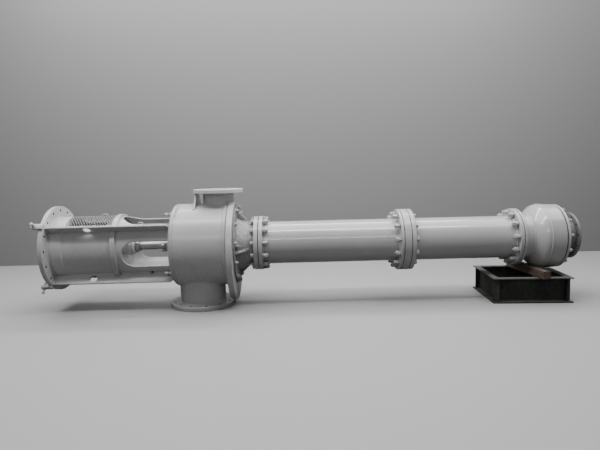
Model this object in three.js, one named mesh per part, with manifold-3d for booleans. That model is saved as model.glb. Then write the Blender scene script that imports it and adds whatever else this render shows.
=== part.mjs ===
// A vertical acid pump laid on its side, with the timber and the steel frame that carry its bowl.
// Millimetres, +Z up, the pump's axis along X with the suction end at +X.

import * as THREE from 'three';
import { mergeVertices } from 'three/addons/utils/BufferGeometryUtils.js';
import Module from 'manifold-3d';

// Stand
const STAND_HEIGHT = 266;
const STAND_LENGTH = 815;
const STAND_WIDTH = 715;
const STAND_WEB_INSET = 56;
const STAND_WEB = 10;
const STAND_FLANGE = 12;
const STAND_CENTRE_X = 5057;
const STAND_CENTRE_Y = 4;
const STAND_TURN = -3.6;
const TIMBER_HEIGHT = 84;
const TIMBER_WIDTH = 84;
const TIMBER_LENGTH = 740;
const TIMBER_CENTRE_X = 5104.4;
const TIMBER_CENTRE_Y = -52;
const TIMBER_TURN = 4.5;

// Clearances
const GAP = 0.3;
const RUNNING_GAP = 1;

// The timber passes under the bowl's cone, which rests on it with this radius
const BOWL_SEAT_RADIUS = 308;
const AXIS_HEIGHT = STAND_HEIGHT + TIMBER_HEIGHT + 2 * GAP + BOWL_SEAT_RADIUS;
const FLOOR = -AXIS_HEIGHT;

// Places along the axis, from the motor flange's outer face
const JACK_LUG_START = -78;
const JACK_SCREW_X = -44;
const FLANGE_THICKNESS = 45;
const COLLAR_END = 177;
const GUARD_START = 190;
const GUARD_END = 664;
const STIFFENER_START = 678;
const STIFFENER_END = 729;
const DRUM_START = 1286;
const DRUM_COLLAR_START = 1836;
const DRUM_COLLAR_END = 1869;
const PLATE_START = 1882;
const PLATE_END = 1941;
const PLATE_RECESS = 2.5;
const HEAD_FLANGE_START = 2135;
const HEAD_JOINT = 2183;
const PIPE_ONE_BARE = 2228;
const PIPE_ONE_END = 3674;
const SPIDER_START = 3703;
const SPIDER_END = 3780;
const PIPE_TWO_BARE = 3826;
const PIPE_TWO_END = 4919;
const BOWL_FLANGE_START = 4957;
const BOWL_START = 4986;
const BOWL_CONE_START = 5095;
const BOWL_SHOULDER = 5160;
const BOWL_FULL = 5205;
const COVER_START = 5386;
const COVER_END = 5416;
const SUCTION_START = 5553;
const SUCTION_END = 5575;

// Radii
const MOTOR_FLANGE_RADIUS = 450;
const MOTOR_BORE_RADIUS = 300;
const STOOL_RADIUS = 325;
const STOOL_WALL = 12;
const RIB_RADIUS = 437;
const RIB_THICKNESS = 20;
const RIB_ANGLES = [36, 144, 234, 306];
const MOTOR_HOLE_CIRCLE = 405;
const MOTOR_HOLE_RADIUS = 13;
const MOTOR_HOLE_TURN = 47.25;
const JACK_LUG_HALF_WIDTH = 28;
const JACK_LUG_THICKNESS = 24;
const JACK_SCREW_RADIUS = 10;
const JACK_NUT_RADIUS = 18;
// The ribs are mirrored about the upright plane, and the windows lie between them, with half
// their width in millimetres. The guarded ones and their sheets have half their spread in degrees.
const FRONT_WINDOW = { turn: -9, half: 135, start: 783 };
const TOP_WINDOW = { turn: 86, half: 183, start: 742 };
const REAR_WINDOW = { turn: 189, half: 135, start: 783 };
const BOTTOM_WINDOW = { turn: 270, half: 135, start: 783 };
const TOP_GUARD = { turn: 90, window: 39, sheet: 44 };
const BOTTOM_GUARD = { turn: 270, window: 28, sheet: 33 };
const LIFTING_HOLE_RADIUS = 38;
const LIFTING_HOLE_X = 452;
const STIFFENER_RADIUS = 350;
const GUARD_THICKNESS = 3;
const DRUM_RADIUS = 442;
const DRUM_WALL = 14;
const DRUM_KNUCKLE = 40;
const DRUM_COLLAR_RADIUS = 451;
const PLATE_RADIUS = 531;
const PLATE_DROP = 70;
const PLATE_BORE_RADIUS = 230;
const PLATE_RECESS_RADIUS = 430;
const HEAD_FOOT_RADIUS = 418;
const HEAD_FOOT_THICKNESS = 16;
const HEAD_THROAT_RADIUS = 232;
const HEAD_CONE_RADIUS = 292;
const HEAD_WAIST_RADIUS = 257;
const HEAD_WAIST_X = 2020;
const HEAD_WEB_RADIUS = 366;
const HEAD_WEB_END = 2088;
const HEAD_WEB_THICKNESS = 24;
const HEAD_WEB_TURN = -10;
const HEAD_FLANGE_RADIUS = 290;
const PIPE_RADIUS = 228.6;
const PIPE_WALL = 12.6;
const PIPE_FLANGE_RADIUS = 330;
const BOWL_FLANGE_RADIUS = 305;
const BOWL_FOOT_RADIUS = 240;
const BOWL_CONE_RADIUS = 245;
const BOWL_RADIUS = 345;
const BOWL_WALL = 22;
const COVER_RADIUS = 341;
const SUCTION_RADIUS = 249;
const SUCTION_NECK_RADIUS = 196;
const SUCTION_BORE_RADIUS = 165;
const SUCTION_HOLE_CIRCLE = 220;
const SUCTION_HOLE_TURN = 7.5;
const SPIDER_HUB_RADIUS = 62;
const SPIDER_ARM_HALF_THICKNESS = 9;

// Nozzles
const DISCHARGE_X = 1549;
const DISCHARGE_NECK_RADIUS = 245;
const DISCHARGE_BORE_RADIUS = 231;
const DISCHARGE_FLANGE_RADIUS = 350;
const DISCHARGE_FLANGE_THICKNESS = 44;
const DISCHARGE_HOLE_CIRCLE = 302;
const TOP_X = 1757;
const TOP_NECK_RADIUS = 164;
const TOP_BORE_RADIUS = 150;
const TOP_FLANGE_RADIUS = 264;
const TOP_FLANGE_THICKNESS = 36;
const TOP_FACE = 594;
const TOP_HOLE_CIRCLE = 222;
const TOP_GUSSET_X = 1518;
const TOP_GUSSET_THICKNESS = 18;
const TOP_GUSSET_HALF_WIDTH = 205;
const TOP_GUSSET_HALF_TOP = 62;
const TOP_GUSSET_EAR = 400;

// Shaft line
const SHAFT_RADIUS = 36;
const SHAFT_START = 290;
const SHAFT_END = 5352;
const BEARING_SEAT_RADIUS = 40;
const BEARING_END = 844;
const SLEEVE_RADIUS = 45.5;
const SLEEVE_END = 1345;
const GLAND_START = 1135;
const GLAND_END = 1178;
const GLAND_RADIUS = 57;
const BOX_RADIUS = 74;
const BOX_END = 1250;
const BOX_FOOT_RADIUS = 120;
const BOX_SPIGOT_RADIUS = 66;
const BOX_SPIGOT_END = 1330;
const HOUSING_START = 560;
const HOUSING_RADIUS = 92;
const HOUSING_NOSE_RADIUS = 76;
const HOUSING_WEB = 22;
const NUT_RADIUS = 64;
const NUT_LENGTH = 41;
const COUPLING_START = 300;
const COUPLING_END = 432;
const COUPLING_RADIUS = 135;
const COUPLING_PLATE = 35;
const COUPLING_HUB_RADIUS = 84;
const COUPLING_HOLE_CIRCLE = 110;
const IMPELLER_START = 5170;
const IMPELLER_END = 5330;
const IMPELLER_RADIUS = 240;

const FINE = 32;
const MEDIUM = 24;
const COARSE = 16;
const HOLE_SIDES = 6;
const DEGREE = Math.PI / 180;

const wasm = await Module();
wasm.setup();

const pump = new THREE.Group();
pump.name = 'pump';
pump.position.z = AXIS_HEIGHT;

const stand = new THREE.Group();
stand.name = 'stand';

const paint = new THREE.MeshStandardMaterial({ color: 0xc9cacb, roughness: 0.28, metalness: 0.1 });
const castPaint = new THREE.MeshStandardMaterial({ color: 0xa9aaab, roughness: 0.55, metalness: 0.4 });
const machined = new THREE.MeshStandardMaterial({ color: 0x8f9194, roughness: 0.35, metalness: 0.9 });
const darkIron = new THREE.MeshStandardMaterial({ color: 0x3f4042, roughness: 0.6, metalness: 0.6 });
const galvanised = new THREE.MeshStandardMaterial({ color: 0xb4b6b8, roughness: 0.45, metalness: 0.7 });
const grimySteel = new THREE.MeshStandardMaterial({ color: 0x23241f, roughness: 0.8, metalness: 0.3 });
const timber = new THREE.MeshStandardMaterial({ color: 0x5d5048, roughness: 0.85, metalness: 0 });

// Six times the volume inside a closed triangle list, used for its sign.
function signedVolume(positions, triangles) {
  const a = new THREE.Vector3();
  const b = new THREE.Vector3();
  const c = new THREE.Vector3();
  let sum = 0;
  for (let i = 0; i < triangles.length; i += 3) {
    a.fromArray(positions, triangles[i] * 3);
    b.fromArray(positions, triangles[i + 1] * 3);
    c.fromArray(positions, triangles[i + 2] * 3);
    sum += a.dot(b.cross(c));
  }
  return sum;
}

// A closed geometry as a solid that can be joined and cut.
function toSolid(geometry) {
  const bare = geometry.clone();
  bare.deleteAttribute('normal');
  bare.deleteAttribute('uv');
  const merged = mergeVertices(bare, 1e-3);
  const vertProperties = Float32Array.from(merged.attributes.position.array);
  const triangles = [];
  const index = merged.index.array;
  for (let i = 0; i < index.length; i += 3) {
    const [p, q, r] = [index[i], index[i + 1], index[i + 2]];
    if (p !== q && q !== r && r !== p) {
      triangles.push(p, q, r);
    }
  }
  if (signedVolume(vertProperties, triangles) < 0) {
    triangles.reverse();
  }
  const triVerts = Uint32Array.from(triangles);
  return new wasm.Manifold(new wasm.Mesh({ numProp: 3, vertProperties, triVerts }));
}

// A solid back as a geometry with flat shading.
function toGeometry(solid) {
  const mesh = solid.getMesh();
  const geometry = new THREE.BufferGeometry();
  geometry.setAttribute('position', new THREE.BufferAttribute(Float32Array.from(mesh.vertProperties), 3));
  geometry.setIndex(new THREE.BufferAttribute(Uint32Array.from(mesh.triVerts), 1));
  geometry.computeVertexNormals();
  return geometry;
}

function place(name, solid, material, parent = pump) {
  const mesh = new THREE.Mesh(toGeometry(solid), material);
  mesh.name = name;
  parent.add(mesh);
  return mesh;
}

function joined(solids) {
  return solids.reduce((sum, next) => sum.add(next));
}

// A profile of [radius, along] points turned about the X axis.
function turned(profile, sides = MEDIUM) {
  const points = profile.map(([radius, along]) => new THREE.Vector2(radius, along));
  if (profile[0][0] > 0) {
    points.push(points[0].clone());
  }
  const geometry = new THREE.LatheGeometry(points, sides);
  geometry.rotateZ(-Math.PI / 2);
  return toSolid(geometry);
}

function ring(start, end, outer, inner, sides = MEDIUM) {
  return turned([[inner, start], [outer, start], [outer, end], [inner, end]], sides);
}

// A solid round bar along X.
function bar(start, end, radius, sides = MEDIUM) {
  const geometry = new THREE.CylinderGeometry(radius, radius, end - start, sides);
  geometry.rotateZ(Math.PI / 2);
  geometry.translate((start + end) / 2, 0, 0);
  return toSolid(geometry);
}

// A solid round bar along Z.
function post(x, y, bottom, top, radius, sides = MEDIUM) {
  const geometry = new THREE.CylinderGeometry(radius, radius, top - bottom, sides);
  geometry.rotateX(Math.PI / 2);
  geometry.translate(x, y, (bottom + top) / 2);
  return toSolid(geometry);
}

function box(low, high) {
  const size = high.map((value, i) => value - low[i]);
  const geometry = new THREE.BoxGeometry(...size);
  geometry.translate(...low.map((value, i) => value + size[i] / 2));
  return toSolid(geometry);
}

// The frame at an angle round the axis: X along, then round it, then outwards.
// Zero faces -Y, and positive angles climb towards +Z.
function radialFrame(degrees) {
  const angle = degrees * DEGREE;
  const along = new THREE.Vector3(1, 0, 0);
  const outward = new THREE.Vector3(0, -Math.cos(angle), Math.sin(angle));
  const around = new THREE.Vector3().crossVectors(outward, along);
  return new THREE.Matrix4().makeBasis(along, around, outward);
}

// A flat shape of [along, outward] points as a plate that stands on the axis at an angle.
function radialPlate(degrees, outline, thickness) {
  const shape = new THREE.Shape(outline.map(([along, out]) => new THREE.Vector2(along, out)));
  const geometry = new THREE.ExtrudeGeometry(shape, { depth: thickness, bevelEnabled: false });
  geometry.translate(0, 0, -thickness / 2);
  geometry.rotateX(Math.PI / 2);
  geometry.applyMatrix4(radialFrame(degrees));
  return toSolid(geometry);
}

function radialBox(degrees, x0, x1, halfWidth, r0, r1) {
  const geometry = new THREE.BoxGeometry(x1 - x0, 2 * halfWidth, r1 - r0);
  geometry.translate((x0 + x1) / 2, 0, (r0 + r1) / 2);
  geometry.applyMatrix4(radialFrame(degrees));
  return toSolid(geometry);
}

// A round bar that points outwards at an angle.
function radialBar(degrees, x, r0, r1, radius, sides) {
  const geometry = new THREE.CylinderGeometry(radius, radius, r1 - r0, sides);
  geometry.rotateX(Math.PI / 2);
  geometry.translate(x, 0, (r0 + r1) / 2);
  geometry.applyMatrix4(radialFrame(degrees));
  return toSolid(geometry);
}

// Part of a ring, between two angles either side of a middle one.
function sector(x0, x1, inner, outer, middle, half, steps = 16) {
  const shape = new THREE.Shape();
  const from = (middle - half) * DEGREE;
  const to = (middle + half) * DEGREE;
  shape.absarc(0, 0, outer, from, to, false);
  shape.absarc(0, 0, inner, to, from, true);
  const options = { depth: x1 - x0, bevelEnabled: false, curveSegments: steps };
  const geometry = new THREE.ExtrudeGeometry(shape, options);
  geometry.applyMatrix4(new THREE.Matrix4().set(0, 0, 1, x0, -1, 0, 0, 0, 0, 1, 0, 0, 0, 0, 0, 1));
  return toSolid(geometry);
}

// Round holes parallel to X on a circle about the axis.
function boltCircle(x0, x1, circle, count, radius, offset = 0) {
  const holes = [];
  for (let i = 0; i < count; i += 1) {
    const angle = (offset + (i * 360) / count) * DEGREE;
    const geometry = new THREE.CylinderGeometry(radius, radius, x1 - x0, HOLE_SIDES);
    geometry.rotateZ(Math.PI / 2);
    geometry.translate((x0 + x1) / 2, -circle * Math.cos(angle), circle * Math.sin(angle));
    holes.push(toSolid(geometry));
  }
  return joined(holes);
}

// Round holes parallel to Z on a circle about a nozzle's axis.
function nozzleHoles(x, bottom, top, circle, count, radius, offset) {
  const holes = [];
  for (let i = 0; i < count; i += 1) {
    const angle = (offset + (i * 360) / count) * DEGREE;
    const hx = x + circle * Math.cos(angle);
    const hy = circle * Math.sin(angle);
    holes.push(post(hx, hy, bottom, top, radius, HOLE_SIDES));
  }
  return joined(holes);
}

// A pipe flange with a raised face towards the flange that it meets.
function raisedFlange(start, end, outer, inner, raisedAt) {
  const raised = 2.5;
  const faceRadius = outer - 36;
  const low = raisedAt === 'start' ? start + raised : start;
  const high = raisedAt === 'end' ? end - raised : end;
  const profile = [[inner, start], [raisedAt === 'start' ? faceRadius : outer, start]];
  if (raisedAt === 'start') {
    profile.push([faceRadius, low], [outer, low]);
  }
  profile.push([outer, high]);
  if (raisedAt === 'end') {
    profile.push([faceRadius, high], [faceRadius, end]);
  }
  profile.push([inner, end]);
  return turned(profile);
}

// Motor flange with its bolt holes and the collar that grips the stool
function motorFlange() {
  const outer = MOTOR_FLANGE_RADIUS;
  const bore = MOTOR_BORE_RADIUS;
  const seat = STOOL_RADIUS + GAP;
  const collar = STOOL_RADIUS + 7;
  const profile = [
    [bore, 0],
    [outer, 0],
    [outer, FLANGE_THICKNESS],
    [collar, FLANGE_THICKNESS],
    [collar, COLLAR_END],
    [seat, COLLAR_END],
    [seat, FLANGE_THICKNESS],
    [bore, FLANGE_THICKNESS],
  ];
  const circle = MOTOR_HOLE_CIRCLE;
  const holes = boltCircle(-1, FLANGE_THICKNESS + 1, circle, 16, MOTOR_HOLE_RADIUS, MOTOR_HOLE_TURN);
  return turned(profile, FINE).subtract(holes);
}

// A slot through the stool's wall with a round end, open at the drum
function stoolSlot({ turn, half, start }) {
  const shape = new THREE.Shape();
  shape.moveTo(DRUM_START + 10, -half);
  shape.lineTo(DRUM_START + 10, half);
  shape.lineTo(start + half, half);
  shape.absarc(start + half, 0, half, Math.PI / 2, 1.5 * Math.PI, false);
  const options = { depth: 120, bevelEnabled: false, curveSegments: 12 };
  const geometry = new THREE.ExtrudeGeometry(shape, options);
  geometry.translate(0, 0, STOOL_RADIUS - 90);
  geometry.applyMatrix4(radialFrame(turn));
  return toSolid(geometry);
}

function stoolTube() {
  const inner = STOOL_RADIUS - STOOL_WALL;
  let tube = ring(FLANGE_THICKNESS + GAP, DRUM_START - GAP, STOOL_RADIUS, inner, FINE);
  for (const slot of [FRONT_WINDOW, TOP_WINDOW, REAR_WINDOW, BOTTOM_WINDOW]) {
    tube = tube.subtract(stoolSlot(slot));
  }
  const start = GUARD_START + 32;
  const end = GUARD_END - 36;
  for (const { turn, window } of [TOP_GUARD, BOTTOM_GUARD]) {
    tube = tube.subtract(sector(start, end, inner - 20, STOOL_RADIUS + 20, turn, window));
  }
  return tube;
}

// Expanded metal guard over a window, as a thin curved sheet
function guard({ turn, sheet }) {
  const seat = STOOL_RADIUS + GAP;
  return sector(GUARD_START, GUARD_END, seat, seat + GUARD_THICKNESS, turn, sheet, 20);
}

function stiffenerRing() {
  return ring(STIFFENER_START, STIFFENER_END, STIFFENER_RADIUS, STOOL_RADIUS + GAP, FINE);
}

// A long rib between motor flange and drum, notched over the collar and the stiffener
function rib(degrees) {
  const seat = STOOL_RADIUS + GAP;
  const outline = [
    [FLANGE_THICKNESS + GAP, seat + 7],
    [COLLAR_END + GAP, seat + 7],
    [COLLAR_END + GAP, seat],
    [STIFFENER_START - GAP, seat],
    [STIFFENER_START - GAP, STIFFENER_RADIUS + GAP],
    [STIFFENER_END + GAP, STIFFENER_RADIUS + GAP],
    [STIFFENER_END + GAP, seat],
    [DRUM_START - GAP, seat],
    [DRUM_START - GAP, RIB_RADIUS - 26],
    [DRUM_START - 26, RIB_RADIUS],
    [FLANGE_THICKNESS + GAP, RIB_RADIUS],
  ];
  const plate = radialPlate(degrees, outline, RIB_THICKNESS);
  const geometry = new THREE.CylinderGeometry(LIFTING_HOLE_RADIUS, LIFTING_HOLE_RADIUS, 60, 20);
  geometry.translate(LIFTING_HOLE_X, 0, (STOOL_RADIUS + RIB_RADIUS) / 2);
  geometry.applyMatrix4(radialFrame(degrees));
  return plate.subtract(toSolid(geometry));
}

// A lug on the motor flange's rim with its jack screw, whose nut and head sink a little into
// the lug and over the screw's end
function jackLug(degrees) {
  const seat = MOTOR_FLANGE_RADIUS + GAP;
  const top = seat + JACK_LUG_THICKNESS;
  const arm = radialBox(degrees, JACK_LUG_START, FLANGE_THICKNESS - 5, JACK_LUG_HALF_WIDTH, seat, top);
  const screw = radialBar(degrees, JACK_SCREW_X, seat - 44, top + 46, JACK_SCREW_RADIUS, HOLE_SIDES);
  const head = radialBar(degrees, JACK_SCREW_X, top + 38, top + 54, JACK_NUT_RADIUS - 1, HOLE_SIDES);
  const nut = radialBar(degrees, JACK_SCREW_X, top - 2, top + 16, JACK_NUT_RADIUS, HOLE_SIDES);
  return joined([arm, screw, nut, head]);
}

// Bearing housing on the web that closes the stool at the stiffener
function bearingHousing() {
  const bore = BEARING_SEAT_RADIUS + RUNNING_GAP;
  const webStart = STIFFENER_START + 12;
  const webRadius = STOOL_RADIUS - STOOL_WALL - GAP;
  const profile = [
    [bore, HOUSING_START],
    [HOUSING_RADIUS, HOUSING_START],
    [HOUSING_RADIUS, webStart],
    [webRadius, webStart],
    [webRadius, webStart + HOUSING_WEB],
    [HOUSING_RADIUS, webStart + HOUSING_WEB],
    [HOUSING_RADIUS, BEARING_END - 18],
    [HOUSING_NOSE_RADIUS, BEARING_END],
    [bore, BEARING_END],
  ];
  return turned(profile, FINE);
}

// Stuffing box with its gland follower, set in the drum's head
function stuffingBox() {
  const bore = SLEEVE_RADIUS + RUNNING_GAP;
  const profile = [
    [bore, GLAND_START],
    [GLAND_RADIUS, GLAND_START],
    [GLAND_RADIUS, GLAND_END],
    [BOX_RADIUS, GLAND_END],
    [BOX_RADIUS, BOX_END],
    [BOX_FOOT_RADIUS, BOX_END],
    [BOX_FOOT_RADIUS, DRUM_START - GAP],
    [BOX_SPIGOT_RADIUS, DRUM_START - GAP],
    [BOX_SPIGOT_RADIUS, BOX_SPIGOT_END],
    [bore, BOX_SPIGOT_END],
  ];
  return turned(profile, COARSE);
}

function drumHead() {
  const knuckle = [];
  const steps = 3;
  for (let i = 0; i <= steps; i += 1) {
    const angle = (i / steps) * (Math.PI / 2);
    const radius = DRUM_RADIUS - DRUM_KNUCKLE + DRUM_KNUCKLE * Math.sin(angle);
    knuckle.push([radius, DRUM_START + DRUM_KNUCKLE - DRUM_KNUCKLE * Math.cos(angle)]);
  }
  const inner = [];
  const innerKnuckle = DRUM_KNUCKLE - DRUM_WALL;
  for (let i = steps; i >= 0; i -= 1) {
    const angle = (i / steps) * (Math.PI / 2);
    const radius = DRUM_RADIUS - DRUM_KNUCKLE + innerKnuckle * Math.sin(angle);
    inner.push([radius, DRUM_START + DRUM_KNUCKLE - innerKnuckle * Math.cos(angle)]);
  }
  const hole = BOX_SPIGOT_RADIUS + GAP;
  return turned([[hole, DRUM_START], ...knuckle, ...inner, [hole, DRUM_START + DRUM_WALL]], FINE);
}

function drumShell() {
  const start = DRUM_START + DRUM_KNUCKLE + GAP;
  const end = PLATE_START - GAP;
  const inner = DRUM_RADIUS - DRUM_WALL;
  const profile = [
    [inner, start],
    [DRUM_RADIUS, start],
    [DRUM_RADIUS, DRUM_COLLAR_START],
    [DRUM_COLLAR_RADIUS, DRUM_COLLAR_START],
    [DRUM_COLLAR_RADIUS, DRUM_COLLAR_END],
    [DRUM_RADIUS, DRUM_COLLAR_END],
    [DRUM_RADIUS, end],
    [inner, end],
  ];
  const bottomBore = post(DISCHARGE_X, 0, -DRUM_RADIUS - 30, 0, DISCHARGE_BORE_RADIUS);
  const topBore = post(TOP_X - 12, 0, 0, DRUM_RADIUS + 30, TOP_BORE_RADIUS - 38);
  return turned(profile, FINE).subtract(bottomBore).subtract(topBore);
}

// What a nozzle's neck is cut back from: the drum, its collar and the base plate
function drumEnvelope() {
  const drum = bar(DRUM_START - 20, PLATE_START + 1, DRUM_RADIUS + GAP, FINE);
  const collar = bar(DRUM_COLLAR_START - GAP, DRUM_COLLAR_END + GAP, DRUM_COLLAR_RADIUS + GAP, FINE);
  const plate = bar(PLATE_START - GAP, PLATE_END + GAP, PLATE_RADIUS + GAP, FINE);
  return joined([drum, collar, plate.translate([0, 0, -PLATE_DROP])]);
}

function dischargeNeck() {
  const bottom = FLOOR + DISCHARGE_FLANGE_THICKNESS + GAP;
  const outer = post(DISCHARGE_X, 0, bottom, -200, DISCHARGE_NECK_RADIUS);
  const inner = post(DISCHARGE_X, 0, bottom - 1, -199, DISCHARGE_BORE_RADIUS);
  return outer.subtract(inner).subtract(drumEnvelope());
}

function dischargeFlange() {
  const top = FLOOR + DISCHARGE_FLANGE_THICKNESS;
  const disc = post(DISCHARGE_X, 0, FLOOR, top, DISCHARGE_FLANGE_RADIUS, FINE);
  const bore = post(DISCHARGE_X, 0, FLOOR - 1, top + 1, DISCHARGE_BORE_RADIUS);
  const holes = nozzleHoles(DISCHARGE_X, FLOOR - 1, top + 1, DISCHARGE_HOLE_CIRCLE, 12, 14, 15);
  return disc.subtract(bore).subtract(holes);
}

function topNeck() {
  const top = TOP_FACE - TOP_FLANGE_THICKNESS - GAP;
  const outer = post(TOP_X, 0, 300, top, TOP_NECK_RADIUS);
  const inner = post(TOP_X, 0, 299, top + 1, TOP_BORE_RADIUS);
  return outer.subtract(inner).subtract(drumEnvelope());
}

function topFlange() {
  const low = TOP_FACE - TOP_FLANGE_THICKNESS;
  const disc = post(TOP_X, 0, low, TOP_FACE, TOP_FLANGE_RADIUS, FINE);
  const bore = post(TOP_X, 0, low - 1, TOP_FACE + 1, TOP_BORE_RADIUS);
  const holes = nozzleHoles(TOP_X, low - 1, TOP_FACE + 1, TOP_HOLE_CIRCLE, 8, 11, 22.5);
  return disc.subtract(bore).subtract(holes);
}

// The plate across the drum that props the top flange
function topGusset() {
  const top = TOP_FACE - TOP_FLANGE_THICKNESS - GAP;
  const shape = new THREE.Shape();
  shape.moveTo(-TOP_GUSSET_HALF_WIDTH, TOP_GUSSET_EAR - 70);
  shape.lineTo(TOP_GUSSET_HALF_WIDTH, TOP_GUSSET_EAR - 70);
  shape.lineTo(TOP_GUSSET_HALF_WIDTH, TOP_GUSSET_EAR);
  shape.lineTo(TOP_GUSSET_HALF_TOP, top);
  shape.lineTo(-TOP_GUSSET_HALF_TOP, top);
  shape.lineTo(-TOP_GUSSET_HALF_WIDTH, TOP_GUSSET_EAR);
  const options = { depth: TOP_GUSSET_THICKNESS, bevelEnabled: false };
  const geometry = new THREE.ExtrudeGeometry(shape, options);
  const endOn = new THREE.Matrix4().set(0, 0, 1, TOP_GUSSET_X, 1, 0, 0, 0, 0, 1, 0, 0, 0, 0, 0, 1);
  geometry.applyMatrix4(endOn);
  return toSolid(geometry).subtract(drumEnvelope());
}

// The base plate, hung below the axis, with a shallow recess that the column head sits in
function basePlate() {
  const disc = bar(PLATE_START, PLATE_END, PLATE_RADIUS, FINE).translate([0, 0, -PLATE_DROP]);
  const recess = bar(PLATE_END - PLATE_RECESS, PLATE_END + 1, PLATE_RECESS_RADIUS, FINE);
  return disc.subtract(bar(PLATE_START - 1, PLATE_END + 1, PLATE_BORE_RADIUS)).subtract(recess);
}

// Column head casting: a flange on the plate, a tapered neck and four webs
function columnHead() {
  const inner = PIPE_RADIUS - PIPE_WALL;
  const start = PLATE_END - PLATE_RECESS + GAP;
  const shoulder = PLATE_END + HEAD_FOOT_THICKNESS;
  const end = HEAD_FLANGE_START - GAP;
  const profile = [
    [inner, start],
    [HEAD_FOOT_RADIUS, start],
    [HEAD_FOOT_RADIUS, shoulder],
    [HEAD_CONE_RADIUS, shoulder],
    [HEAD_WAIST_RADIUS, HEAD_WAIST_X],
    [HEAD_THROAT_RADIUS, HEAD_WEB_END + 10],
    [HEAD_THROAT_RADIUS, end],
    [inner, end],
  ];
  const webs = [];
  for (let i = 0; i < 4; i += 1) {
    const outline = [
      [shoulder - 8, HEAD_THROAT_RADIUS + 4],
      [shoulder - 8, HEAD_WEB_RADIUS],
      [shoulder + 2, HEAD_WEB_RADIUS],
      [HEAD_WEB_END, HEAD_THROAT_RADIUS + 8],
      [HEAD_WEB_END, HEAD_THROAT_RADIUS - 6],
    ];
    webs.push(radialPlate(HEAD_WEB_TURN + 90 * i, outline, HEAD_WEB_THICKNESS));
  }
  return joined([turned(profile), ...webs]);
}

function columnPipe(start, end) {
  return ring(start + GAP, end - GAP, PIPE_RADIUS, PIPE_RADIUS - PIPE_WALL);
}

// A disc between two flanges whose three arms hold a shaft bearing
function spider(start, end, outer) {
  const inner = PIPE_RADIUS - PIPE_WALL;
  const rim = ring(start + GAP, end - GAP, outer, inner);
  const hub = ring(start + 4, end - 4, SPIDER_HUB_RADIUS, SHAFT_RADIUS + RUNNING_GAP, COARSE);
  const foot = SPIDER_HUB_RADIUS - 7;
  const half = SPIDER_ARM_HALF_THICKNESS;
  const arms = [90, 210, 330].map((angle) => radialBox(angle, start + 8, end - 8, half, foot, inner + 4));
  return joined([rim, hub, ...arms]);
}

// The bowl: a short foot, a domed cone that runs smoothly into the full width and on up to the cover
function bowl() {
  const narrow = new THREE.Vector2(BOWL_CONE_RADIUS, BOWL_CONE_START);
  const wide = new THREE.Vector2(BOWL_RADIUS, BOWL_FULL);
  const shoulder = new THREE.Vector2(BOWL_RADIUS, BOWL_SHOULDER);
  const cone = new THREE.QuadraticBezierCurve(narrow, shoulder, wide).getPoints(8);
  const profile = [
    [BOWL_FOOT_RADIUS, BOWL_START + GAP],
    ...cone.map(({ x, y }) => [x, y]),
    [BOWL_RADIUS, COVER_START - 24],
    [COVER_RADIUS, COVER_START - GAP],
    [COVER_RADIUS - BOWL_WALL, COVER_START - GAP],
    [BOWL_RADIUS - BOWL_WALL, BOWL_FULL],
    [BOWL_CONE_RADIUS - BOWL_WALL, BOWL_CONE_START],
    [PIPE_RADIUS - PIPE_WALL, BOWL_START + GAP],
  ];
  return turned(profile, FINE);
}

function bowlCover() {
  return ring(COVER_START, COVER_END, COVER_RADIUS, SUCTION_BORE_RADIUS, FINE);
}

function suctionNeck() {
  const profile = [
    [SUCTION_BORE_RADIUS, COVER_END + GAP],
    [SUCTION_NECK_RADIUS + 34, COVER_END + GAP],
    [SUCTION_NECK_RADIUS + 34, COVER_END + 16],
    [SUCTION_NECK_RADIUS, COVER_END + 34],
    [SUCTION_NECK_RADIUS, SUCTION_START - GAP],
    [SUCTION_BORE_RADIUS, SUCTION_START - GAP],
  ];
  return turned(profile);
}

function suctionFlange() {
  const disc = ring(SUCTION_START, SUCTION_END, SUCTION_RADIUS, SUCTION_BORE_RADIUS, FINE);
  const circle = SUCTION_HOLE_CIRCLE;
  return disc.subtract(boltCircle(SUCTION_START - 1, SUCTION_END + 1, circle, 12, 10, SUCTION_HOLE_TURN));
}

// Shaft with its bearing nut, gland sleeve and the nut that holds the impeller
function shaft() {
  const profile = [
    [0, SHAFT_START],
    [BEARING_SEAT_RADIUS, SHAFT_START],
    [BEARING_SEAT_RADIUS, BEARING_END + 5],
    [NUT_RADIUS, BEARING_END + 5],
    [NUT_RADIUS, BEARING_END + 5 + NUT_LENGTH],
    [SLEEVE_RADIUS, BEARING_END + 5 + NUT_LENGTH],
    [SLEEVE_RADIUS, SLEEVE_END],
    [SHAFT_RADIUS, SLEEVE_END],
    [SHAFT_RADIUS, SHAFT_END],
    [0, SHAFT_END],
  ];
  return turned(profile, COARSE);
}

function couplingHub() {
  const bore = BEARING_SEAT_RADIUS + GAP;
  const plateEnd = COUPLING_START + COUPLING_PLATE;
  const profile = [
    [bore, COUPLING_START],
    [COUPLING_RADIUS, COUPLING_START],
    [COUPLING_RADIUS, plateEnd],
    [COUPLING_HUB_RADIUS, plateEnd],
    [COUPLING_HUB_RADIUS, COUPLING_END],
    [bore, COUPLING_END],
  ];
  const hub = turned(profile, COARSE);
  return hub.subtract(boltCircle(COUPLING_START - 1, plateEnd + 1, COUPLING_HOLE_CIRCLE, 8, 9));
}

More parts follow.
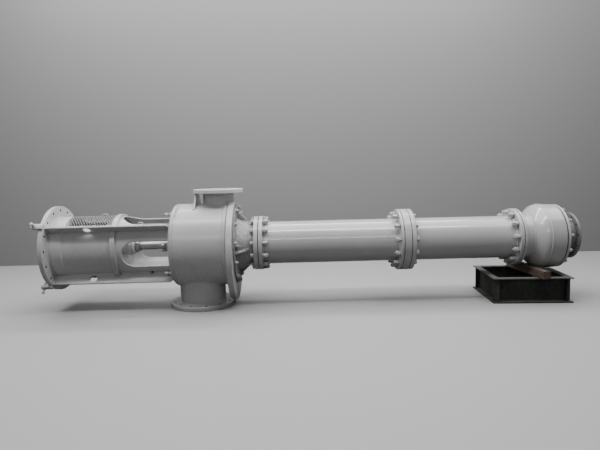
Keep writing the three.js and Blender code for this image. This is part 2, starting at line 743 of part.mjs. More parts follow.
// Impeller: a back shroud, a hub and six swept blades
function impeller() {
  const bore = SHAFT_RADIUS + GAP;
  const shroudEnd = IMPELLER_START + 14;
  const profile = [
    [bore, IMPELLER_START],
    [IMPELLER_RADIUS, IMPELLER_START],
    [IMPELLER_RADIUS, shroudEnd],
    [90, shroudEnd + 12],
    [62, IMPELLER_END],
    [bore, IMPELLER_END],
  ];
  const endOn = new THREE.Matrix4().set(0, 0, 1, 0, 1, 0, 0, 0, 0, 1, 0, 0, 0, 0, 0, 1);
  const blades = [];
  for (let i = 0; i < 6; i += 1) {
    const shape = new THREE.Shape();
    shape.moveTo(60, -8);
    shape.quadraticCurveTo(150, -20, 232, 52);
    shape.lineTo(224, 62);
    shape.quadraticCurveTo(148, -4, 58, 8);
    const options = { depth: 130, bevelEnabled: false, curveSegments: 5 };
    const geometry = new THREE.ExtrudeGeometry(shape, options);
    geometry.rotateZ(i * 60 * DEGREE);
    geometry.applyMatrix4(endOn);
    geometry.translate(IMPELLER_START + 8, 0, 0);
    blades.push(toSolid(geometry));
  }
  const vanes = joined(blades).subtract(bar(IMPELLER_START, IMPELLER_END - 10, bore + 6, COARSE));
  return turned(profile, COARSE).add(vanes);
}

// One side of the stand, a channel with its flanges outwards and mitred ends
function standSide(length, width) {
  const outer = -width / 2;
  const back = outer + STAND_WEB_INSET;
  const section = new THREE.Shape();
  section.moveTo(outer, 0);
  section.lineTo(back + STAND_WEB, 0);
  section.lineTo(back + STAND_WEB, STAND_HEIGHT);
  section.lineTo(outer, STAND_HEIGHT);
  section.lineTo(outer, STAND_HEIGHT - STAND_FLANGE);
  section.lineTo(back, STAND_HEIGHT - STAND_FLANGE);
  section.lineTo(back, STAND_FLANGE);
  section.lineTo(outer, STAND_FLANGE);
  const geometry = new THREE.ExtrudeGeometry(section, { depth: length, bevelEnabled: false });
  geometry.applyMatrix4(new THREE.Matrix4().set(0, 0, 1, -length / 2, 1, 0, 0, 0, 0, 1, 0, 0, 0, 0, 0, 1));
  const reach = STAND_WEB_INSET + STAND_WEB + 5;
  const plan = new THREE.Shape();
  plan.moveTo(-length / 2 + GAP, outer);
  plan.lineTo(length / 2 - GAP, outer);
  plan.lineTo(length / 2 - GAP - reach, outer + reach);
  plan.lineTo(-length / 2 + GAP + reach, outer + reach);
  const mitre = new THREE.ExtrudeGeometry(plan, { depth: STAND_HEIGHT + 2, bevelEnabled: false });
  mitre.translate(0, 0, -1);
  return toSolid(geometry).intersect(toSolid(mitre));
}

place('motor_flange', motorFlange(), paint);
place('stool_tube', stoolTube(), paint);
place('stiffener_ring', stiffenerRing(), paint);
RIB_ANGLES.forEach((degrees, i) => {
  place(`rib_${i + 1}`, rib(degrees), paint);
  place(`jack_lug_${i + 1}`, jackLug(degrees), paint);
});
place('guard_top', guard(TOP_GUARD), galvanised);
place('guard_bottom', guard(BOTTOM_GUARD), galvanised);
place('bearing_housing', bearingHousing(), paint);
place('stuffing_box', stuffingBox(), machined);
place('drum_head', drumHead(), paint);
place('drum_shell', drumShell(), paint);
place('discharge_neck', dischargeNeck(), paint);
place('discharge_flange', dischargeFlange(), paint);
place('top_neck', topNeck(), paint);
place('top_flange', topFlange(), paint);
place('top_gusset', topGusset(), paint);
place('base_plate', basePlate(), paint);
place('column_head', columnHead(), castPaint);

const pipeBore = PIPE_RADIUS - PIPE_WALL;
const headJointStart = HEAD_JOINT - GAP / 2;
place('head_flange',
  raisedFlange(HEAD_FLANGE_START, headJointStart, HEAD_FLANGE_RADIUS, pipeBore, 'end'), paint);
place('pipe_1_upper_flange',
  raisedFlange(headJointStart + GAP, PIPE_ONE_BARE, HEAD_FLANGE_RADIUS, pipeBore, 'start'), paint);
place('column_pipe_1', columnPipe(PIPE_ONE_BARE, PIPE_ONE_END), paint);
place('pipe_1_lower_flange', ring(PIPE_ONE_END, SPIDER_START, PIPE_FLANGE_RADIUS, pipeBore), paint);
place('bearing_spider', spider(SPIDER_START, SPIDER_END, PIPE_FLANGE_RADIUS), paint);
place('pipe_2_upper_flange',
  raisedFlange(SPIDER_END, PIPE_TWO_BARE, PIPE_FLANGE_RADIUS, pipeBore, 'start'), paint);
place('column_pipe_2', columnPipe(PIPE_TWO_BARE, PIPE_TWO_END), paint);
place('pipe_2_lower_flange',
  raisedFlange(PIPE_TWO_END, BOWL_FLANGE_START, BOWL_FLANGE_RADIUS, pipeBore, 'end'), paint);
place('bowl_flange', spider(BOWL_FLANGE_START, BOWL_START, BOWL_FLANGE_RADIUS), paint);
place('bowl', bowl(), paint);
place('bowl_cover', bowlCover(), paint);
place('suction_neck', suctionNeck(), darkIron);
place('suction_flange', suctionFlange(), darkIron);
place('shaft', shaft(), machined);
place('coupling_hub', couplingHub(), darkIron);
place('impeller', impeller(), darkIron);

const steelFrame = new THREE.Group();
steelFrame.position.set(STAND_CENTRE_X, STAND_CENTRE_Y, 0);
steelFrame.rotation.z = STAND_TURN * DEGREE;
stand.add(steelFrame);
place('stand_front', standSide(STAND_LENGTH, STAND_WIDTH), grimySteel, steelFrame);
place('stand_rear', standSide(STAND_LENGTH, STAND_WIDTH), grimySteel, steelFrame).rotation.z = Math.PI;
place('stand_right', standSide(STAND_WIDTH, STAND_LENGTH), grimySteel, steelFrame).rotation.z = Math.PI / 2;
place('stand_left', standSide(STAND_WIDTH, STAND_LENGTH), grimySteel, steelFrame).rotation.z = -Math.PI / 2;

const beam = box(
  [-TIMBER_WIDTH / 2, -TIMBER_LENGTH / 2, 0],
  [TIMBER_WIDTH / 2, TIMBER_LENGTH / 2, TIMBER_HEIGHT],
);
const beamMesh = place('timber_block', beam, timber, stand);
beamMesh.position.set(TIMBER_CENTRE_X, TIMBER_CENTRE_Y, STAND_HEIGHT + GAP);
beamMesh.rotation.z = TIMBER_TURN * DEGREE;

const whole = new THREE.Group();
whole.position.x = -(JACK_LUG_START + SUCTION_END) / 2;
whole.add(pump, stand);

export default whole;
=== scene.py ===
import bmesh
import bpy
import numpy as np
from mathutils import Matrix, Vector


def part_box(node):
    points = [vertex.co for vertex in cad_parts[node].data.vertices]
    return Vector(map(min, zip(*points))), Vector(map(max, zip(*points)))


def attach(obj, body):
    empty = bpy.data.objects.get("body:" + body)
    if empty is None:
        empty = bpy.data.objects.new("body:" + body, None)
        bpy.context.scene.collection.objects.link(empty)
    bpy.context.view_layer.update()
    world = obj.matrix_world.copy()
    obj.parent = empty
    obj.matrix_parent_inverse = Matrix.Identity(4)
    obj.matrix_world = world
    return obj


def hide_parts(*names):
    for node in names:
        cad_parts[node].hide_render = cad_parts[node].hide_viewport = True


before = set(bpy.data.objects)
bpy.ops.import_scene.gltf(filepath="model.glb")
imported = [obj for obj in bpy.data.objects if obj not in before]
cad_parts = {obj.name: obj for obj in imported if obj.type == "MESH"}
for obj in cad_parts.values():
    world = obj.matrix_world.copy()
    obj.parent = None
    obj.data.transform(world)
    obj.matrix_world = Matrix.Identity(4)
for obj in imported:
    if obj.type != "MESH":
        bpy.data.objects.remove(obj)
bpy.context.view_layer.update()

# The pump's axis runs along X. Sizes are in millimetres from the motor flange's
# outer face and from the axis; toRoom turns them into metres in the room.
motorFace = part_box("motor_flange")[0].x
axisHeight = sum(corner.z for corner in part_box("suction_flange")) / 2
floorLevel = -1000 * axisHeight
seatGap = 0.3  # between two pieces that sit on each other


def toRoom(points):
    return np.asarray(points, float) * 0.001 + np.array([motorFace, 0.0, axisHeight])


# camera, stage and lamps

view = {"place": (-0.1776, -5.247, 1.4226), "yaw": -0.63, "pitch": 6.32, "roll": -1.35, "lens": 29.1}
lamps = {
    # name: place, aim, size, power
    "ceiling": ((0.0, 0.1, 5.6), (0.0, 0.0, 0.5), (12.0, 5.0), 540),
    "rowAbove": ((-0.5, -1.45, 5.0), (-0.5, -0.2, 0.6), (7.4, 0.3), 130),
    "rowBehind": ((-0.5, 1.9, 5.0), (-0.5, 0.1, 0.6), (7.4, 0.3), 110),
    "rowBefore": ((-1.2, -8.6, 4.8), (-0.4, 0.0, 0.6), (9.0, 0.5), 110),
}
stage = {"reach": 40.0, "wallDistance": 2.6, "wallHeight": 9.0, "floorTone": 0.5, "floorRough": 0.4,
         "floorBounce": 0.1, "wallTone": 0.33, "skyTone": 0.75, "skyPower": 0.55, "skyFill": 0.08}


def addCamera():
    yaw, pitch, roll = (np.radians(view[key]) for key in ("yaw", "pitch", "roll"))
    right = np.array([np.cos(yaw), np.sin(yaw), 0.0])
    ahead = np.array([-np.sin(yaw), np.cos(yaw), 0.0])
    up = np.array([0.0, 0.0, 1.0])
    ahead, up = ahead * np.cos(pitch) - up * np.sin(pitch), up * np.cos(pitch) + ahead * np.sin(pitch)
    right, up = right * np.cos(roll) + up * np.sin(roll), up * np.cos(roll) - right * np.sin(roll)
    data = bpy.data.cameras.new("camera")
    data.lens = view["lens"]
    data.sensor_width = 36.0
    camera = bpy.data.objects.new("camera", data)
    turn = np.eye(4)
    turn[:3, :3] = np.stack([right, up, -ahead], -1)
    turn[:3, 3] = view["place"]
    camera.matrix_world = Matrix(turn.tolist())
    bpy.context.scene.collection.objects.link(camera)
    bpy.context.scene.camera = camera


def addLamps():
    for name, (place, aim, size, power) in lamps.items():
        data = bpy.data.lights.new(name, "AREA")
        data.shape = "RECTANGLE"
        data.size, data.size_y = size
        data.energy = power
        lamp = bpy.data.objects.new(name, data)
        lamp.location = place
        lamp.rotation_mode = "QUATERNION"
        lamp.rotation_quaternion = (Vector(place) - Vector(aim)).to_track_quat("Z", "Y")
        bpy.context.scene.collection.objects.link(lamp)


def addNode(tree, kind, inputs=None, **settings):
    node = tree.nodes.new(kind)
    for name, value in settings.items():
        setattr(node, name, value)
    for socket, value in (inputs or {}).items():
        if isinstance(value, bpy.types.NodeSocket):
            tree.links.new(value, node.inputs[socket])
        else:
            node.inputs[socket].default_value = value
    return node


def calc(tree, operation, first, second, clamp=False):
    node = addNode(tree, "ShaderNodeMath", {0: first, 1: second}, operation=operation, use_clamp=clamp)
    return node.outputs[0]


def spread(tree, value, low, high, toLow=0.0, toHigh=1.0):
    # the range low to high stretched to toLow to toHigh, clamped
    inputs = {"Value": value, "From Min": low, "From Max": high, "To Min": toLow, "To Max": toHigh}
    return addNode(tree, "ShaderNodeMapRange", inputs, clamp=True).outputs["Result"]


def blendColours(tree, factor, first, second):
    inputs = {0: factor, 6: first, 7: second}
    return addNode(tree, "ShaderNodeMix", inputs, data_type="RGBA").outputs[2]


def layered(tree, colour, mask, amount, overColour):
    # a second colour laid over a colour where a mask says so: stains, dust, and painted shade where surfaces
    # meet
    return blendColours(tree, calc(tree, "MULTIPLY", mask, amount), colour, overColour)


def grey(value, warmth=0.0):
    # a near-neutral linear colour, a little warm or cool
    return (value * (1 + warmth), value, value * (1 - warmth), 1.0)


def objectPlace(tree):
    return addNode(tree, "ShaderNodeTexCoord").outputs["Object"]


def noiseAt(tree, place, scale, detail, rough=0.5, distortion=0.0):
    inputs = {"Vector": place, "Scale": scale, "Detail": detail, "Roughness": rough, "Distortion": distortion}
    return addNode(tree, "ShaderNodeTexNoise", inputs).outputs[0]


def cellsAt(tree, place, scale):
    return addNode(tree, "ShaderNodeTexVoronoi", {"Vector": place, "Scale": scale}).outputs["Distance"]


def newGroup(name, inputs, output):
    # a node group whose inputs and single output are numbers
    tree = bpy.data.node_groups.new(name, "ShaderNodeTree")
    number = "NodeSocketFloat"
    for label, value in inputs.items():
        socket = tree.interface.new_socket(label, in_out="INPUT", socket_type=number)
        socket.default_value = value
    tree.interface.new_socket(output, in_out="OUTPUT", socket_type=number)
    return tree, tree.nodes.new("NodeGroupInput"), tree.nodes.new("NodeGroupOutput")


def cloudGroup():
    # broad soft mottling from two noises of different grain
    tree, given, made = newGroup("clouding", {"Scale": 3.0, "Fine": 40.0, "Mix": 0.35}, "Mask")
    place = objectPlace(tree)
    broad = noiseAt(tree, place, given.outputs["Scale"], 4.0, 0.55)
    fine = noiseAt(tree, place, given.outputs["Fine"], 3.0, 0.6)
    both = addNode(tree, "ShaderNodeMix", {0: given.outputs["Mix"], 2: broad, 3: fine}, data_type="FLOAT")
    tree.links.new(spread(tree, both.outputs[0], 0.35, 0.65), made.inputs["Mask"])
    return tree


def cornerDirtAndShadeGroup():
    # darkening where surfaces meet, from ambient occlusion and broken up by noise: dirt and painted shade
    tree, given, made = newGroup("cornerDirtAndShade", {"Reach": 0.03, "Strength": 1.0}, "Mask")
    near = addNode(tree, "ShaderNodeAmbientOcclusion", {"Distance": given.outputs["Reach"]}, samples=4)
    hidden = calc(tree, "SUBTRACT", 1.0, near.outputs["AO"])
    grain = spread(tree, noiseAt(tree, objectPlace(tree), 60.0, 3.0), 0.3, 0.7, 0.4, 1.6)
    broken = calc(tree, "MULTIPLY", hidden, grain)
    mask = calc(tree, "MULTIPLY", broken, given.outputs["Strength"], clamp=True)
    tree.links.new(mask, made.inputs["Mask"])
    return tree


def rippleGroup():
    # the fine ripple of sprayed or brushed paint, with a few dust nibs
    tree, given, made = newGroup("paintRipple", {"Scale": 260.0, "Nibs": 0.5}, "Height")
    place = objectPlace(tree)
    fine = noiseAt(tree, place, given.outputs["Scale"], 1.5)
    wave = calc(tree, "MULTIPLY", noiseAt(tree, place, 9.0, 2.0), 2.5)
    nibs = spread(tree, cellsAt(tree, place, 90.0), 0.0, 0.12, 1.0, 0.0)
    nibs = calc(tree, "MULTIPLY", nibs, given.outputs["Nibs"])
    total = calc(tree, "ADD", calc(tree, "ADD", fine, nibs), wave)
    tree.links.new(total, made.inputs["Height"])
    return tree


groups = {"clouding": cloudGroup(), "corners": cornerDirtAndShadeGroup(), "ripple": rippleGroup()}


def useGroup(tree, name, **inputs):
    node = tree.nodes.new("ShaderNodeGroup")
    node.node_tree = groups[name]
    for label, value in inputs.items():
        node.inputs[label].default_value = value
    return node.outputs[0]


def newMaterial(name):
    material = bpy.data.materials.new(name)
    material.use_nodes = True
    tree = material.node_tree
    return material, tree, tree.nodes["Principled BSDF"]


def setShader(tree, shader, **inputs):
    for label, value in inputs.items():
        socket = shader.inputs[label.replace("_", " ")]
        if isinstance(value, bpy.types.NodeSocket):
            tree.links.new(value, socket)
        else:
            socket.default_value = value


def bumpFrom(tree, height, distance):
    inputs = {"Height": height, "Distance": distance, "Strength": 1.0}
    return addNode(tree, "ShaderNodeBump", inputs).outputs["Normal"]


def glossPaint(name, tone, dirtAndShadeTone, rough=(0.2, 0.34), dirtAndShade=1.4, scale=2.2, coat=(0.3, 0.2)):
    # sprayed gloss paint: soft mottling, dirt and painted shade in the corners, a fine ripple
    material, tree, shader = newMaterial(name)
    clouds = useGroup(tree, "clouding", Scale=scale, Fine=45.0, Mix=0.3)
    corners = useGroup(tree, "corners", Reach=0.035, Strength=dirtAndShade)
    colour = blendColours(tree, clouds, grey(tone * 0.93), grey(tone * 1.04))
    # painted shade with some dirt: the colour darkens towards the corner tone where surfaces meet
    colour = layered(tree, colour, corners, 0.55, grey(dirtAndShadeTone, 0.05))
    roughness = spread(tree, clouds, 0.0, 1.0, *rough)
    roughness = calc(tree, "ADD", roughness, calc(tree, "MULTIPLY", corners, 0.3))
    ripple = useGroup(tree, "ripple", Scale=300.0, Nibs=0.35)
    setShader(tree, shader, Base_Color=colour, Roughness=roughness, Normal=bumpFrom(tree, ripple, 0.00008),
              Coat_Weight=coat[0], Coat_Roughness=coat[1], Specular_IOR_Level=0.5)
    return material


def castMetal(name, tones, metallic, rough, grain, depth):
    # a sand casting: coarse pimples, light and dark specks, dirt and painted shade in the hollows
    material, tree, shader = newMaterial(name)
    place = objectPlace(tree)
    coarse = noiseAt(tree, place, grain, 5.0, 0.7)
    pits = cellsAt(tree, place, grain * 1.6)
    specks = spread(tree, coarse, 0.38, 0.66)
    clouds = useGroup(tree, "clouding", Scale=5.0, Fine=70.0, Mix=0.5)
    corners = useGroup(tree, "corners", Reach=0.05, Strength=1.3)
    low, high, dirtAndShade = tones
    colour = blendColours(tree, specks, grey(low), grey(high))
    colour = layered(tree, colour, clouds, 0.35, grey(low * 0.8, 0.04))
    # painted shade with some dirt: darker where surfaces meet
    colour = layered(tree, colour, corners, 0.7, grey(dirtAndShade, 0.06))
    height = calc(tree, "ADD", coarse, calc(tree, "MULTIPLY", pits, 0.6))
    setShader(tree, shader, Base_Color=colour, Normal=bumpFrom(tree, height, depth), Metallic=metallic,
              Roughness=spread(tree, specks, 0.0, 1.0, rough + 0.15, rough))
    return material


def turnedMetal(name, tone, rough=0.28, lines=900.0, metallic=0.5):
    # machined steel with fine turning lines round the axis and a little oil haze
    material, tree, shader = newMaterial(name)
    along = addNode(tree, "ShaderNodeSeparateXYZ", {"Vector": objectPlace(tree)}).outputs["X"]
    inputs = {"W": calc(tree, "MULTIPLY", along, lines), "Scale": 1.0, "Detail": 2.0}
    cut = addNode(tree, "ShaderNodeTexNoise", inputs, noise_dimensions="1D").outputs[0]
    clouds = useGroup(tree, "clouding", Scale=9.0, Fine=80.0, Mix=0.4)
    corners = useGroup(tree, "corners", Reach=0.03, Strength=1.5)
    colour = blendColours(tree, clouds, grey(tone * 0.8), grey(tone))
    # painted shade with some dirt: near-black where surfaces meet
    colour = layered(tree, colour, corners, 0.7, grey(0.05, 0.1))
    setShader(tree, shader, Base_Color=colour, Normal=bumpFrom(tree, cut, 0.00008), Metallic=metallic,
              Roughness=spread(tree, clouds, 0.0, 1.0, rough + 0.12, rough))
    return material


def timberGrain(name):
    # weathered softwood along the beam: stretched rings, dark pores, grey bloom, and grime with painted shade
    # where it meets other parts
    material, tree, shader = newMaterial(name)
    inputs = {"Vector": objectPlace(tree), "Rotation": (0.0, 0.0, -0.079), "Scale": (26.0, 1.6, 26.0)}
    grain = addNode(tree, "ShaderNodeMapping", inputs).outputs[0]
    rings = noiseAt(tree, grain, 1.0, 6.0, distortion=0.6)
    pores = noiseAt(tree, grain, 6.0, 3.0)
    clouds = useGroup(tree, "clouding", Scale=7.0, Fine=60.0, Mix=0.4)
    corners = useGroup(tree, "corners", Reach=0.03, Strength=1.2)
    bands = spread(tree, rings, 0.36, 0.64)
    colour = blendColours(tree, bands, (0.085, 0.055, 0.04, 1), (0.2, 0.15, 0.115, 1))
    colour = layered(tree, colour, clouds, 0.5, (0.12, 0.105, 0.095, 1))
    colour = blendColours(tree, spread(tree, pores, 0.56, 0.72), colour, (0.03, 0.022, 0.018, 1))
    # painted shade with some grime: near-black where the beam meets other parts
    colour = blendColours(tree, corners, colour, (0.02, 0.016, 0.014, 1))
    height = calc(tree, "ADD", rings, calc(tree, "MULTIPLY", pores, 0.6))
    setShader(tree, shader, Base_Color=colour, Roughness=0.82, Normal=bumpFrom(tree, height, 0.0015))
    return material


def grimyChannel(name):
    # black mill steel: greenish-brown stains, grey wear along the top rim, dust on what faces up, painted
    # shade with some dirt in the corners
    material, tree, shader = newMaterial(name)
    place = objectPlace(tree)
    facing = addNode(tree, "ShaderNodeNewGeometry").outputs["Normal"]
    upward, level = [addNode(tree, "ShaderNodeSeparateXYZ", {"Vector": vector}).outputs["Z"]
                     for vector in (facing, place)]
    stains = useGroup(tree, "clouding", Scale=6.0, Fine=28.0, Mix=0.35)
    fine = noiseAt(tree, place, 55.0, 5.0, 0.7)
    corners = useGroup(tree, "corners", Reach=0.06, Strength=1.2)
    colour = blendColours(tree, stains, (0.018, 0.021, 0.019, 1), (0.07, 0.08, 0.065, 1))
    colour = blendColours(tree, spread(tree, fine, 0.6, 0.75, 0.0, 0.8), colour, (0.07, 0.065, 0.05, 1))
    patches = spread(tree, fine, 0.3, 0.6, 0.5, 1.0)
    dusty = calc(tree, "MULTIPLY", spread(tree, upward, 0.6, 0.95), patches)
    colour = layered(tree, colour, dusty, 0.8, (0.11, 0.11, 0.1, 1))
    rim = calc(tree, "MULTIPLY", spread(tree, level, 0.252, 0.257), patches)
    colour = blendColours(tree, rim, colour, (0.2, 0.2, 0.195, 1))
    # painted shade with some dirt: near-black where surfaces meet
    colour = layered(tree, colour, corners, 0.6, (0.004, 0.004, 0.003, 1))
    setShader(tree, shader, Base_Color=colour, Normal=bumpFrom(tree, fine, 0.0012), Metallic=0.25,
              Roughness=spread(tree, fine, 0.3, 0.7, 0.45, 0.8))
    return material


def plainStage(name, tone, rough):
    material, tree, shader = newMaterial(name)
    setShader(tree, shader, Base_Color=grey(tone), Roughness=rough)
    return material, tree, shader


finishes = {
    # name: the record's slot and the material
    "paint": ("grey_paint", glossPaint("greyGloss", 0.6, 0.16)),
    "pipePaint": ("grey_paint", glossPaint("pipeGloss", 0.58, 0.16, (0.16, 0.3), 1.4, 1.5, (0.85, 0.04))),
    # a paler copy of the grey gloss for the top flange: painted highlight of the lamps on its face
    "litFacePaint": ("grey_paint", glossPaint("litFaceGloss", 0.86, 0.2, (0.3, 0.45))),
    # the welds' gloss is paler than the grey paint: painted highlight of their sparkle
    "weldSparklePaint": ("grey_paint", glossPaint("weldSparkleGloss", 0.66, 0.2, (0.16, 0.3), 0.8, 6.0)),
    # the fasteners' gloss has a very dark corner tone at double strength: painted shade round nuts and studs,
    # with some dirt
    "fastenerPaint": ("grey_paint", glossPaint("fastenerPaint", 0.62, 0.05, (0.25, 0.4), 2.0, 20.0)),
    "casting": ("silver_casting", castMetal("silverCasting", (0.3, 0.85, 0.07), 0.2, 0.32, 95.0, 0.005)),
    "darkIron": ("dark_iron", castMetal("darkCastIron", (0.07, 0.15, 0.02), 0.3, 0.45, 160.0, 0.0012)),
    "suctionIron": ("dark_iron", castMetal("suctionIron", (0.22, 0.42, 0.06), 0.1, 0.4, 160.0, 0.0012)),
    "machined": ("machined_steel", turnedMetal("turnedSteel", 0.5)),
    "zinc": ("galvanised", turnedMetal("galvanisedWire", 0.78, 0.4, 60.0, 0.25)),
    "cream": ("grey_paint", castMetal("creamStrip", (0.4, 0.6, 0.15), 0.0, 0.6, 90.0, 0.0004)),
    "grimy": ("grimy_steel", grimyChannel("grimySteel")),
    "timber": ("timber", timberGrain("weatheredTimber")),
    # near-black: painted shade inside holes, joint gaps and the coupling chamber
    "gapShade": ("grey_paint", castMetal("jointShadow", (0.015, 0.03, 0.01), 0.0, 0.8, 200.0, 0.0005)),
}
print("materials made:", len(finishes))


# shapes worked out as whole arrays


def gridFaces(rows, columns, wrapRows=False, wrapColumns=False):
    # four-cornered faces between neighbouring points of a lattice
    index = np.arange(rows * columns).reshape(rows, columns)
    if wrapRows:
        index = np.concatenate([index, index[:1]], 0)
    if wrapColumns:
        index = np.concatenate([index, index[:, :1]], 1)
    corners = [index[:-1, :-1], index[1:, :-1], index[1:, 1:], index[:-1, 1:]]
    return np.stack(corners, -1).reshape(-1, 4)


def softened(corners, radius=2.0, steps=3, closed=True):
    # Each corner gives way to a curve that starts and ends the radius away from it:
    # (1-s)^2 of the start plus 2s(1-s) of the corner plus s^2 of the end. A holding
    # point stands just outside either end, so flat faces stay flat when shaded.
    hold = 0.8
    corners = np.asarray(corners, float)
    before = np.roll(corners, 1, 0) - corners
    after = np.roll(corners, -1, 0) - corners
    lengths = [np.maximum(np.linalg.norm(edge, axis=1, keepdims=True), 1e-9) for edge in (before, after)]
    radius = np.broadcast_to(np.asarray(radius, float), (len(corners),))[:, None]
    reach = np.minimum(radius, 0.42 * np.minimum(*lengths))
    if not closed:
        reach[[0, -1]] = 0.0
    unitBefore, unitAfter = before / lengths[0], after / lengths[1]
    s = np.linspace(0, 1, steps + 1)[None, :, None]
    start, end = corners + unitBefore * reach, corners + unitAfter * reach
    curve = (1 - s) ** 2 * start[:, None] + 2 * s * (1 - s) * corners[:, None] + s ** 2 * end[:, None]
    holds = [np.minimum(hold, 0.06 * length) * (reach > 0) for length in lengths]
    first = (start + unitBefore * holds[0])[:, None]
    last = (end + unitAfter * holds[1])[:, None]
    path = np.concatenate([first, curve, last], 1).reshape(-1, 2)
    keep = np.ones(len(path), bool)
    keep[1:] = np.linalg.norm(np.diff(path, axis=0), axis=1) > 1e-6
    return path[keep]


def turned(outline, sides=160, closed=True, angles=None, drop=0.0):
    # an outline of [radius, along] carried round the axis: y = -radius cos(angle),
    # z = radius sin(angle), lowered by drop, which may differ from point to point
    outline = np.asarray(outline, float)
    if angles is None:
        angles = np.arange(sides) * 2 * np.pi / sides
    radius, along = outline[:, 0], outline[:, 1]
    x = np.broadcast_to(along, (len(angles), len(outline)))
    y = -np.cos(angles)[:, None] * radius
    z = np.sin(angles)[:, None] * radius - drop
    return np.stack([x, y, z], -1).reshape(-1, 3), gridFaces(len(angles), len(outline), True, closed)


def standing(part, x):
    # a shape about the pump's axis stood up about a vertical line at x, along becoming height
    points, faces = part
    return np.stack([x + points[:, 2], points[:, 1], points[:, 0]], -1), faces


def together(*parts):
    starts = np.cumsum([0] + [len(part[0]) for part in parts[:-1]])
    faces = [part[1] + start for part, start in zip(parts, starts)]
    return np.concatenate([part[0] for part in parts]), np.concatenate(faces)


def band(inner, outer, start, end):
    # the section of a plain ring, as corners of [radius, along]
    return [(inner, start), (outer, start), (outer, end), (inner, end)]


def bandRing(inner, outer, start, end, radius=2.0, steps=3, sides=160):
    return turned(softened(band(inner, outer, start, end), radius, steps), sides)


def boltedRing(outside, inside, circle, holes, holeRadius, firstAngle, arcSteps=9, sideSteps=4):
    # A ring pierced by bolt holes. outside runs over the rim from the first face to the
    # second, inside comes back through the bore. Between them each face is a row of cells,
    # one for each hole, and every cell spreads from its hole's edge out to its border.
    outside, inside = np.asarray(outside, float), np.asarray(inside, float)
    half = np.pi / holes
    low = (outside[0, 1], inside[-1, 0], outside[0, 0])
    high = (outside[-1, 1], inside[0, 0], outside[-1, 0])
    swing = np.linspace(-half, half, arcSteps + 1)[:-1]
    slide = np.linspace(0, 1, sideSteps + 1)[:-1]
    chamfer = 1.2
    angle = np.concatenate([swing, np.full(sideSteps, half), -swing, np.full(sideSteps, -half)])

    def border(face):
        inner, outer = face[1], face[2]
        radius = np.concatenate([np.full(arcSteps, outer), outer + (inner - outer) * slide,
                                 np.full(arcSteps, inner), inner + (outer - inner) * slide])
        return np.stack([radius * np.cos(angle), radius * np.sin(angle)], -1)

    towards = border(low) - np.array([circle, 0.0])
    towards = towards / np.linalg.norm(towards, axis=1, keepdims=True)
    side = np.sign(high[0] - low[0])
    stations = [(holeRadius + chamfer, low[0]), (holeRadius, low[0] + chamfer * side),
                (holeRadius, high[0] - chamfer * side), (holeRadius + chamfer, high[0])]
    edges = [np.array([circle, 0.0]) + towards * radius for radius, x in stations]
    flat = np.stack([border(low)] + edges + [border(high)])
    heights = np.array([low[0]] + [x for radius, x in stations] + [high[0]])
    turns = np.radians(firstAngle) + np.arange(holes) * 2 * half
    radius = np.linalg.norm(flat, axis=-1)[None]
    angles = np.arctan2(flat[..., 1], flat[..., 0])[None] + turns[:, None, None]
    x = np.broadcast_to(heights[None, :, None], angles.shape)
    points = np.stack([x, -radius * np.cos(angles), radius * np.sin(angles)], -1).reshape(-1, 3)
    one = gridFaces(len(heights), flat.shape[1], False, True)
    faces = (one[None] + (np.arange(holes) * len(heights) * flat.shape[1])[:, None, None]).reshape(-1, 4)
    rimAngles = (turns[:, None] + swing[None]).reshape(-1)
    return together((points, faces), turned(outside, closed=False, angles=rimAngles),
                    turned(inside, closed=False, angles=rimAngles))


def drilledFlange(s, low, high, margin, radius):
    # a flat flange between two heights, whose holes lie in a band twice the margin wide
    circle = s["circle"]
    outside = softened(band(circle + margin, s["flange"], low, high), radius, closed=False)
    inside = softened(band(circle - margin, s["bore"], high, low), closed=False)
    return boltedRing(outside, inside, circle, s["holes"], s["holeRadius"], s["firstHole"])


def ringPlaces(x, radius, count, first):
    # evenly spaced points on a circle about the axis
    angles = np.radians(first + np.arange(count) * 360.0 / count)
    return np.stack([np.full(count, float(x)), -radius * np.cos(angles), radius * np.sin(angles)], -1)


def copies(part, places, along, seed=0):
    # one small shape, made along +X, set at many places along given directions,
    # each with its own turn about itself
    points, faces = part
    places = np.asarray(places, float)
    along = np.broadcast_to(np.asarray(along, float), places.shape)
    along = along / np.linalg.norm(along, axis=1, keepdims=True)
    helper = np.where(np.abs(along[:, 2:]) < 0.9, [[0.0, 0.0, 1.0]], [[0.0, 1.0, 0.0]])
    side = np.cross(helper, along)
    side = side / np.linalg.norm(side, axis=1, keepdims=True)
    other = np.cross(along, side)
    spin = np.random.default_rng(seed).uniform(0, np.pi / 3, len(places))[:, None]
    first = side * np.cos(spin) + other * np.sin(spin)
    second = other * np.cos(spin) - side * np.sin(spin)
    axes = np.stack([along, first, second], 1)
    moved = np.einsum("pk,nkd->npd", points, axes) + places[:, None]
    shifts = (np.arange(len(places)) * len(points))[:, None, None]
    return moved.reshape(-1, 3), (faces[None] + shifts).reshape(-1, 4)


def hexBlock(flats, height, base=0.0):
    # A hexagon's distance from its centre is half its flats over the cosine of the angle
    # from the middle of a side. A thirty degree cone trims the corners at the top.
    facets, chamfer = 4, 0.6
    angles = np.arange(6 * facets) * np.pi / 3 / facets
    hexagon = flats / 2 / np.cos(np.mod(angles, np.pi / 3) - np.pi / 6)
    inscribed = np.full(len(angles), flats * 0.475)
    trim = (hexagon - inscribed) * np.tan(np.pi / 6)
    zero = np.zeros(len(angles))
    radius = np.stack([zero, hexagon - chamfer, hexagon, hexagon, inscribed, inscribed * 0.9, zero], 1)
    x = np.stack([zero, zero, zero + chamfer, height - trim] + [zero + height] * 3, 1)
    points = np.stack([x + base, -radius * np.cos(angles)[:, None], radius * np.sin(angles)[:, None]], -1)
    return points.reshape(-1, 3), gridFaces(len(angles), 7, True, False)


